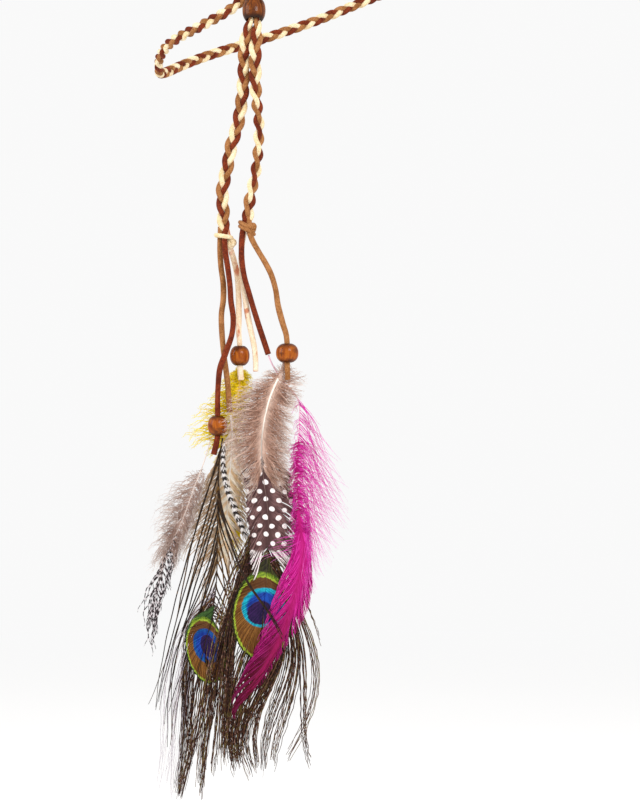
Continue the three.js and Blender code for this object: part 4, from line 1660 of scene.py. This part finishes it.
def herringbone(bones, count, scatter=1.0):
    """Single thin barbs, evenly spaced between the few whose course is given."""
    known = np.linspace(0, 1, len(bones))
    rows = np.array([[bone[0], *bone[1], *bone[2], *bone[3]] for bone in bones])
    share = np.linspace(0, 1, count)
    row = np.stack([np.interp(share, known, column) for column in rows.T], axis=1)
    row[:, 1:] += random.normal(size=(count, 6)) * np.array([0.5, 1, 1.2, 2, 2.2, 6]) * scatter
    root = points_on(line, row[:, 0])
    depth = root[:, 1] + random.normal(size=count) * 0.8
    places = [np.stack([row[:, i], depth, row[:, i + 1]], axis=1) for i in (1, 3, 5)]
    pulls = through(root, *places)
    return row[:, 0], bend(root, *pulls, places[2], BONE_STATIONS)


for bones, count in ((LEFT_BONES, 13), (RIGHT_BONES, 11)):
    distance, paths = herringbone(bones, count)
    tress = add_strands(plume, ripple(paths, random, 0.4, 25), 0.85, 2, distance, twist=0.3, tip=0.3)
    add_barbules(plume, tress, 22 * count, 0.9, 0.09, 0.7, 0.45)
print("barbs of the herringbone:", plume.strips)

# %% [markdown]
# One of these barbs has strayed: it crosses in front of the other feather's eye. The
# rest of the feather is a second eye with locks of herl round it, and the palest
# strands hang at its outer side.

# %% Build the rear peacock feather
CROSSING_DEPTH = 12.5
crossing = [
    (30, (-51, -312), (-40, -330), (-29, -348)),
    (30.5, (-51, -313), (-40, -331), (-29, -349)),
]
distance, paths = herringbone(crossing, 2, 0.1)
paths[:, :, 1] -= CROSSING_DEPTH * np.minimum(1, 3 * np.linspace(0, 1, BONE_STATIONS))
add_strands(plume, paths, 0.95, 2, distance, twist=0.2, tip=0.6)
REAR_LOCKS = [
    # roots before the shaft's end, first and second place, tip, barbs, spread, finish, width
    ((36, 24), (-79, -350), (-81, -383), (-84, -432), 16, 1.5, 0, 0.6),
    ((34, 22), (-76, -356), (-79, -386), (-78, -417), 14, 1.5, 0, 0.6),
    ((12, 0), (-73, -381), (-75, -397), (-83, -431), 18, 1.8, 0, 0.6),
    ((10, 0), (-66, -381), (-69, -398), (-71, -427), 18, 1.8, 0, 0.6),
    ((30, 20), (-59, -352), (-60, -378), (-61, -406), 12, 1.6, 0, 0.6),
    ((40, 30), (-83, -358), (-88, -387), (-92, -425), 12, 2.2, 3, 0.3),
    ((34, 24), (-81, -366), (-85, -394), (-87, -431), 12, 2.2, 3, 0.3),
]
for roots, first, second, tip, count, spread, kind, width in REAR_LOCKS:
    span = (top - roots[0], top - roots[1])
    distance, paths = lock(plume, line, span, first, second, tip, count, spread)
    waved = ripple(paths, random, 0.5, 6)
    tress = add_strands(plume, waved, width, kind, distance, twist=0.5, tip=0.4)
    add_barbules(plume, tress, 50 * count, 1.0, 0.1, 0.85, 0.12)
eye_vane(plume, line, rear_eye, top - 27, 200, 0.66, 1)
add_shaft(plume, line, 0.9, 2, 0.4)
plume.piece(
    "rear_peacock_plume", "peacock_feather_rear", "peacock_plumage",
    [herl, rear_eye_finish, thin_herl, pale_herl],
)

# %% [markdown]
# ## The narrow barred feather
#
# A thin hackle with short barbs hangs beside the rear feather. It is barred black and
# white right across, shaft and barbs together, so the bars go by the distance along
# the shaft and drift a little towards the tips.


# %% Finish and barbs of the barred feather
def barred(name, dark, pale, pitch, share, lean, drift=0.15):
    """Bars pitch mm apart, leaning by lean of the reach and drifting from barb to barb."""
    material, wire, shader = new_finish(name, Specular_IOR_Level=0.15)
    root = value_of(wire, "root")
    reach = value_of(wire, "reach")
    ragged = noise(wire, 600, 2)
    place = (root + reach * lean) / pitch + ragged * 0.35 + value_of(wire, "chance") * drift
    wave = wire.math("SINE", place * (2 * math.pi)) * 0.5 + 0.5
    look = blend(ramp_up(wave, share - 0.12, share + 0.12), colour(pale), colour(dark))
    lay(shader, "Base Color", look)
    lay(shader, "Roughness", 0.5 + 0.3 * ragged)
    return material


black_bars = barred("black and white bars", "2c2626", "e4dedb", 3.8, 0.48, 0.4)
line = smooth_route([
    (-59.4, -72.4, -247.2), (-60.2, -72.4, -256), (-59.6, -72.4, -266),
    (-56.6, -72.4, -276), (-52.6, -72.4, -287), (-48.4, -72.5, -297),
], 0.6)
plume = Plume(41)
count = 300
distance = np.linspace(1, distances_along(line)[-1] - 0.5, count)
side = both_sides(count)
paths = side_barbs(
    plume, blades["barred_feather"], line, distance, side, 2.6, 0.7, 0.35, (0.9, 1.25), 0.2, 6
)
tress = add_strands(plume, paths, 0.3, 0, distance, twist=0.3)
add_barbules(plume, tress, 2500, 0.9, 0.07, 0.5)
add_shaft(plume, line, 0.6, 0, 0.4)
plume.piece("barred_plume", "barred_feather", "barred_plumage", [black_bars])

# %% [markdown]
# ## The yellow feather
#
# A small feather dyed bright yellow hangs under the cream cord's bead. It is nearly
# all down, so the same barbs and barbules serve, on a golden, slightly twisted shaft.

# %% Build the yellow feather
yellow_down = down("yellow down", "f0cc08", "fbe41a", "fdf060")
golden_quill = quill("golden quill", "a8741c", "e0b84a")
blade = blades["yellow_feather"]
line = smooth_route([
    (-52.5, -63.2, -207.8), (-51.8, -63.4, -216), (-53.6, -63.2, -228), (-57, -63, -240),
    (-58.4, -63.4, -254), (-55.6, -63.6, -275), (-54, -63.6, -295),
], SHAFT_STEP)
plume = Plume(43)
random = plume.random
count = 760
distance = 1 + 85 * random.uniform(size=count) ** 1.7
side = both_sides(count)
drop = 2 + 12 * distance / 86 + random.normal(0, 2.0, count)
paths = side_barbs(plume, blade, line, distance, side, drop, 1.0, 0.6, (0.3, 1.1), 1.4)
tress = add_strands(plume, ripple(paths, random, 1.4, 8), 0.6, 0, distance, twist=0.6)
add_barbules(plume, tress, 11000, 2.4, 0.17)
add_shaft(plume, line, 1.3, 1, 0.3)
plume.piece("yellow_plume", "yellow_feather", "yellow_plumage", [yellow_down, golden_quill])

# %% [markdown]
# ## The peach and tan feather
#
# Behind the herringbone hangs a soft, broad feather of peach, cream and tan. Its barbs
# cling in strips, so a slow change of shade along the shaft gives streaks that follow
# the barbs.


# %% Finish and build of the tan feather
def streaked(name, dark, middle, pale):
    """A soft vane whose barbs cling in streaks of three shades."""
    material, wire, shader = new_finish(name, Specular_IOR_Level=0.15)
    root = value_of(wire, "root")
    reach = value_of(wire, "reach")
    chance = value_of(wire, "chance")
    streak = wire.math("SINE", root * 1.1 + noise(wire, 60, 2) * 9) * 0.5 + 0.5
    dye = blend(ramp_up(streak * 0.7 + chance * 0.3, 0.2, 0.7), colour(middle), colour(pale))
    dye = blend(ramp_up(reach + streak * 4, 7, 13) * 0.7, dye, colour(dark))
    lay(shader, "Base Color", dye)
    lay(shader, "Roughness", 0.6 + 0.25 * chance)
    return material


tan_vane = streaked("peach and tan vane", "a07850", "e6c49a", "f8ecd8")
blade = blades["tan_feather"]
line = smooth_route([
    (-56.4, -67.2, -232.8), (-55.6, -66.8, -244), (-56.4, -66.6, -258),
    (-57.6, -66.6, -275), (-58.8, -66.6, -292), (-60.5, -66.6, -308),
], SHAFT_STEP)
plume = Plume(47)
random = plume.random
count = 260
distance = np.linspace(8, distances_along(line)[-1] - 0.5, count)
side = both_sides(count)
reach = np.where(side < 0, random.uniform(1.1, 2.0, count), random.uniform(0.75, 1.05, count))
paths = side_barbs(plume, blade, line, distance, side, 15, 0.6, 0.3, (1, 1), 0.6, 12)
paths = stretched(paths, reach)
tress = add_strands(plume, ripple(paths, random, 0.8, 12), 0.7, 0, distance, twist=0.25)
add_barbules(plume, tress, 6000, 1.4, 0.08)
add_shaft(plume, line, 1.1, 1, 0.3)
plume.piece("tan_plume", "tan_feather", "tan_plumage", [tan_vane, ivory_quill])

# %% [markdown]
# ## The small feather at the left
#
# The last feather shows a puff of grey-brown down at the left and, under it, a thin
# drooping vane of black and white barbs with a few pale ones beside it.

# %% Build the small guinea-fowl feather
pale_down = down("small guinea down", "957669", "c4a99c", "eee5df")
drooping = barred("drooping bars", "372e30", "cfc6c8", 3.6, 0.28, 1.0, 0.9)
grey_quill = quill("grey quill", "3a3032", "d8c8be")
line = smooth_route([
    (-67.2, -66.4, -246.6), (-70.6, -66.4, -258), (-76, -66.4, -272), (-81, -66.4, -286),
    (-87, -66.4, -300), (-92, -66.4, -314), (-96.4, -66.4, -331), (-99.4, -66.4, -346),
], SHAFT_STEP)
length = distances_along(line)[-1]
blade = blades["small_guinea_feather"]
plume = Plume(53)
random = plume.random
count = 560
distance = 14 + 48 * random.beta(1.7, 1.1, count)
side = both_sides(count)
drop = random.uniform(-2, 16, count)
paths = side_barbs(plume, blade, line, distance, side, drop, 1.1, 0.6, (0.4, 1.5), 1.8)
tress = add_strands(plume, ripple(paths, random, 1.8, 9), 0.3, 0, distance, twist=0.6)
add_barbules(plume, tress, 11000, 2.4, 0.075)
count = 52
distance = np.linspace(52, length - 8, count) + random.normal(size=count)
side = both_sides(count)
drop = random.uniform(10, 24, count)
paths = side_barbs(plume, blade, line, distance, side, drop, 0.6, 0.1, (0.0, 1.5), 1.0, 18)
tress = add_strands(plume, ripple(paths, random, 1.2, 14), 0.75, 1, distance, twist=0.4, tip=0.3)
add_barbules(plume, tress, 1200, 1.2, 0.07, 0.5)
add_shaft(plume, line, 0.6, 2, 0.5)
plume.piece(
    "small_guinea_plume", "small_guinea_feather", "guinea_plumage",
    [pale_down, drooping, grey_quill],
)

# %% [markdown]
# ## The studio
#
# The piece hangs in a bright, even studio. A wide pale floor lies a little below the
# feathers, a white sky gives soft light from all round, and one large soft lamp in
# front and to the right puts a highlight on each bead.

# %% Floor, sky and lamps
FLOOR_DROP = 70.0
FLOOR_RADIUS = 9000.0
FLOOR_CORNERS = 96
FADE_START = 300.0
FADE_END = 1600.0
SKY = 0.95


def pale_floor():
    """A round, very wide floor under the object."""
    turn = np.linspace(0, 2 * math.pi, FLOOR_CORNERS + 1)[:-1]
    rim = FLOOR_RADIUS * np.stack([np.cos(turn), np.sin(turn), 0 * turn], axis=1)
    mesh = bpy.data.meshes.new("floor")
    mesh.from_pydata([Vector(p) * MM for p in rim], [], [list(range(FLOOR_CORNERS))])
    floor = bpy.data.objects.new("floor", mesh)
    floor.location.z = cad_box[0][2] - FLOOR_DROP * MM
    scene.collection.objects.link(floor)
    floor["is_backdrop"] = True
    mesh.materials.append(paper_finish())
    return floor


def paper_finish():
    """White paper near the object that fades into the sky further out."""
    material, wire, shader = new_finish("pale paper", Roughness=0.9)
    paper = blend(noise(wire, 3, 2), colour("f4f3f2"), colour("f8f7f6"))
    lay(shader, "Base Color", paper)
    place = wire.node("ShaderNodeTexCoord", out=3)
    away = place.node("ShaderNodeVectorMath", {"operation": "LENGTH"}, {0: place}, out=1)
    glow = wire.node("ShaderNodeEmission", None, {"Color": (1, 1, 1, 1), "Strength": SKY})
    body = Wire(wire.tree, shader.outputs[0])
    far = ramp_up(away, FADE_START * MM, FADE_END * MM)
    mixed = wire.node("ShaderNodeMixShader", None, {0: far, 1: body, 2: glow})
    wire.tree.links.new(mixed.socket, wire.tree.nodes["Material Output"].inputs["Surface"])
    return material


def soft_lamp(name, place, aim, size, power):
    """A square soft lamp, in mm and watts, that the camera doesn't see."""
    light = bpy.data.lights.new(name, "AREA")
    light.size = size * MM
    light.energy = power
    lamp = bpy.data.objects.new(name, light)
    lamp.location = Vector(place) * MM
    lamp.rotation_euler = (Vector(aim) - Vector(place)).to_track_quat("-Z", "Y").to_euler()
    lamp.visible_camera = False
    scene.collection.objects.link(lamp)
    return lamp


floor = pale_floor()
key = soft_lamp("key lamp", (700, -1500, 650), (-40, -60, -200), 700, 16)
rim_lamp = soft_lamp("side lamp", (-1300, -500, 300), (-40, -60, -220), 900, 8)
world = bpy.data.worlds.new("white studio")
world.use_nodes = True
world.node_tree.nodes["Background"].inputs["Color"].default_value = (1, 1, 1, 1)
world.node_tree.nodes["Background"].inputs["Strength"].default_value = SKY
scene.world = world
scene.view_settings.view_transform = "Standard"
print("the floor has", len(floor.data.vertices), "corners. Lamps:", key.name, rim_lamp.name)

# %% Compare the boxes and finish
look_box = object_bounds()
sizes = {"cad": [list(c) for c in cad_box], "look": [list(c) for c in look_box]}
for name, box in sizes.items():
    print(name, [[round(1000 * x, 1) for x in corner] for corner in box])
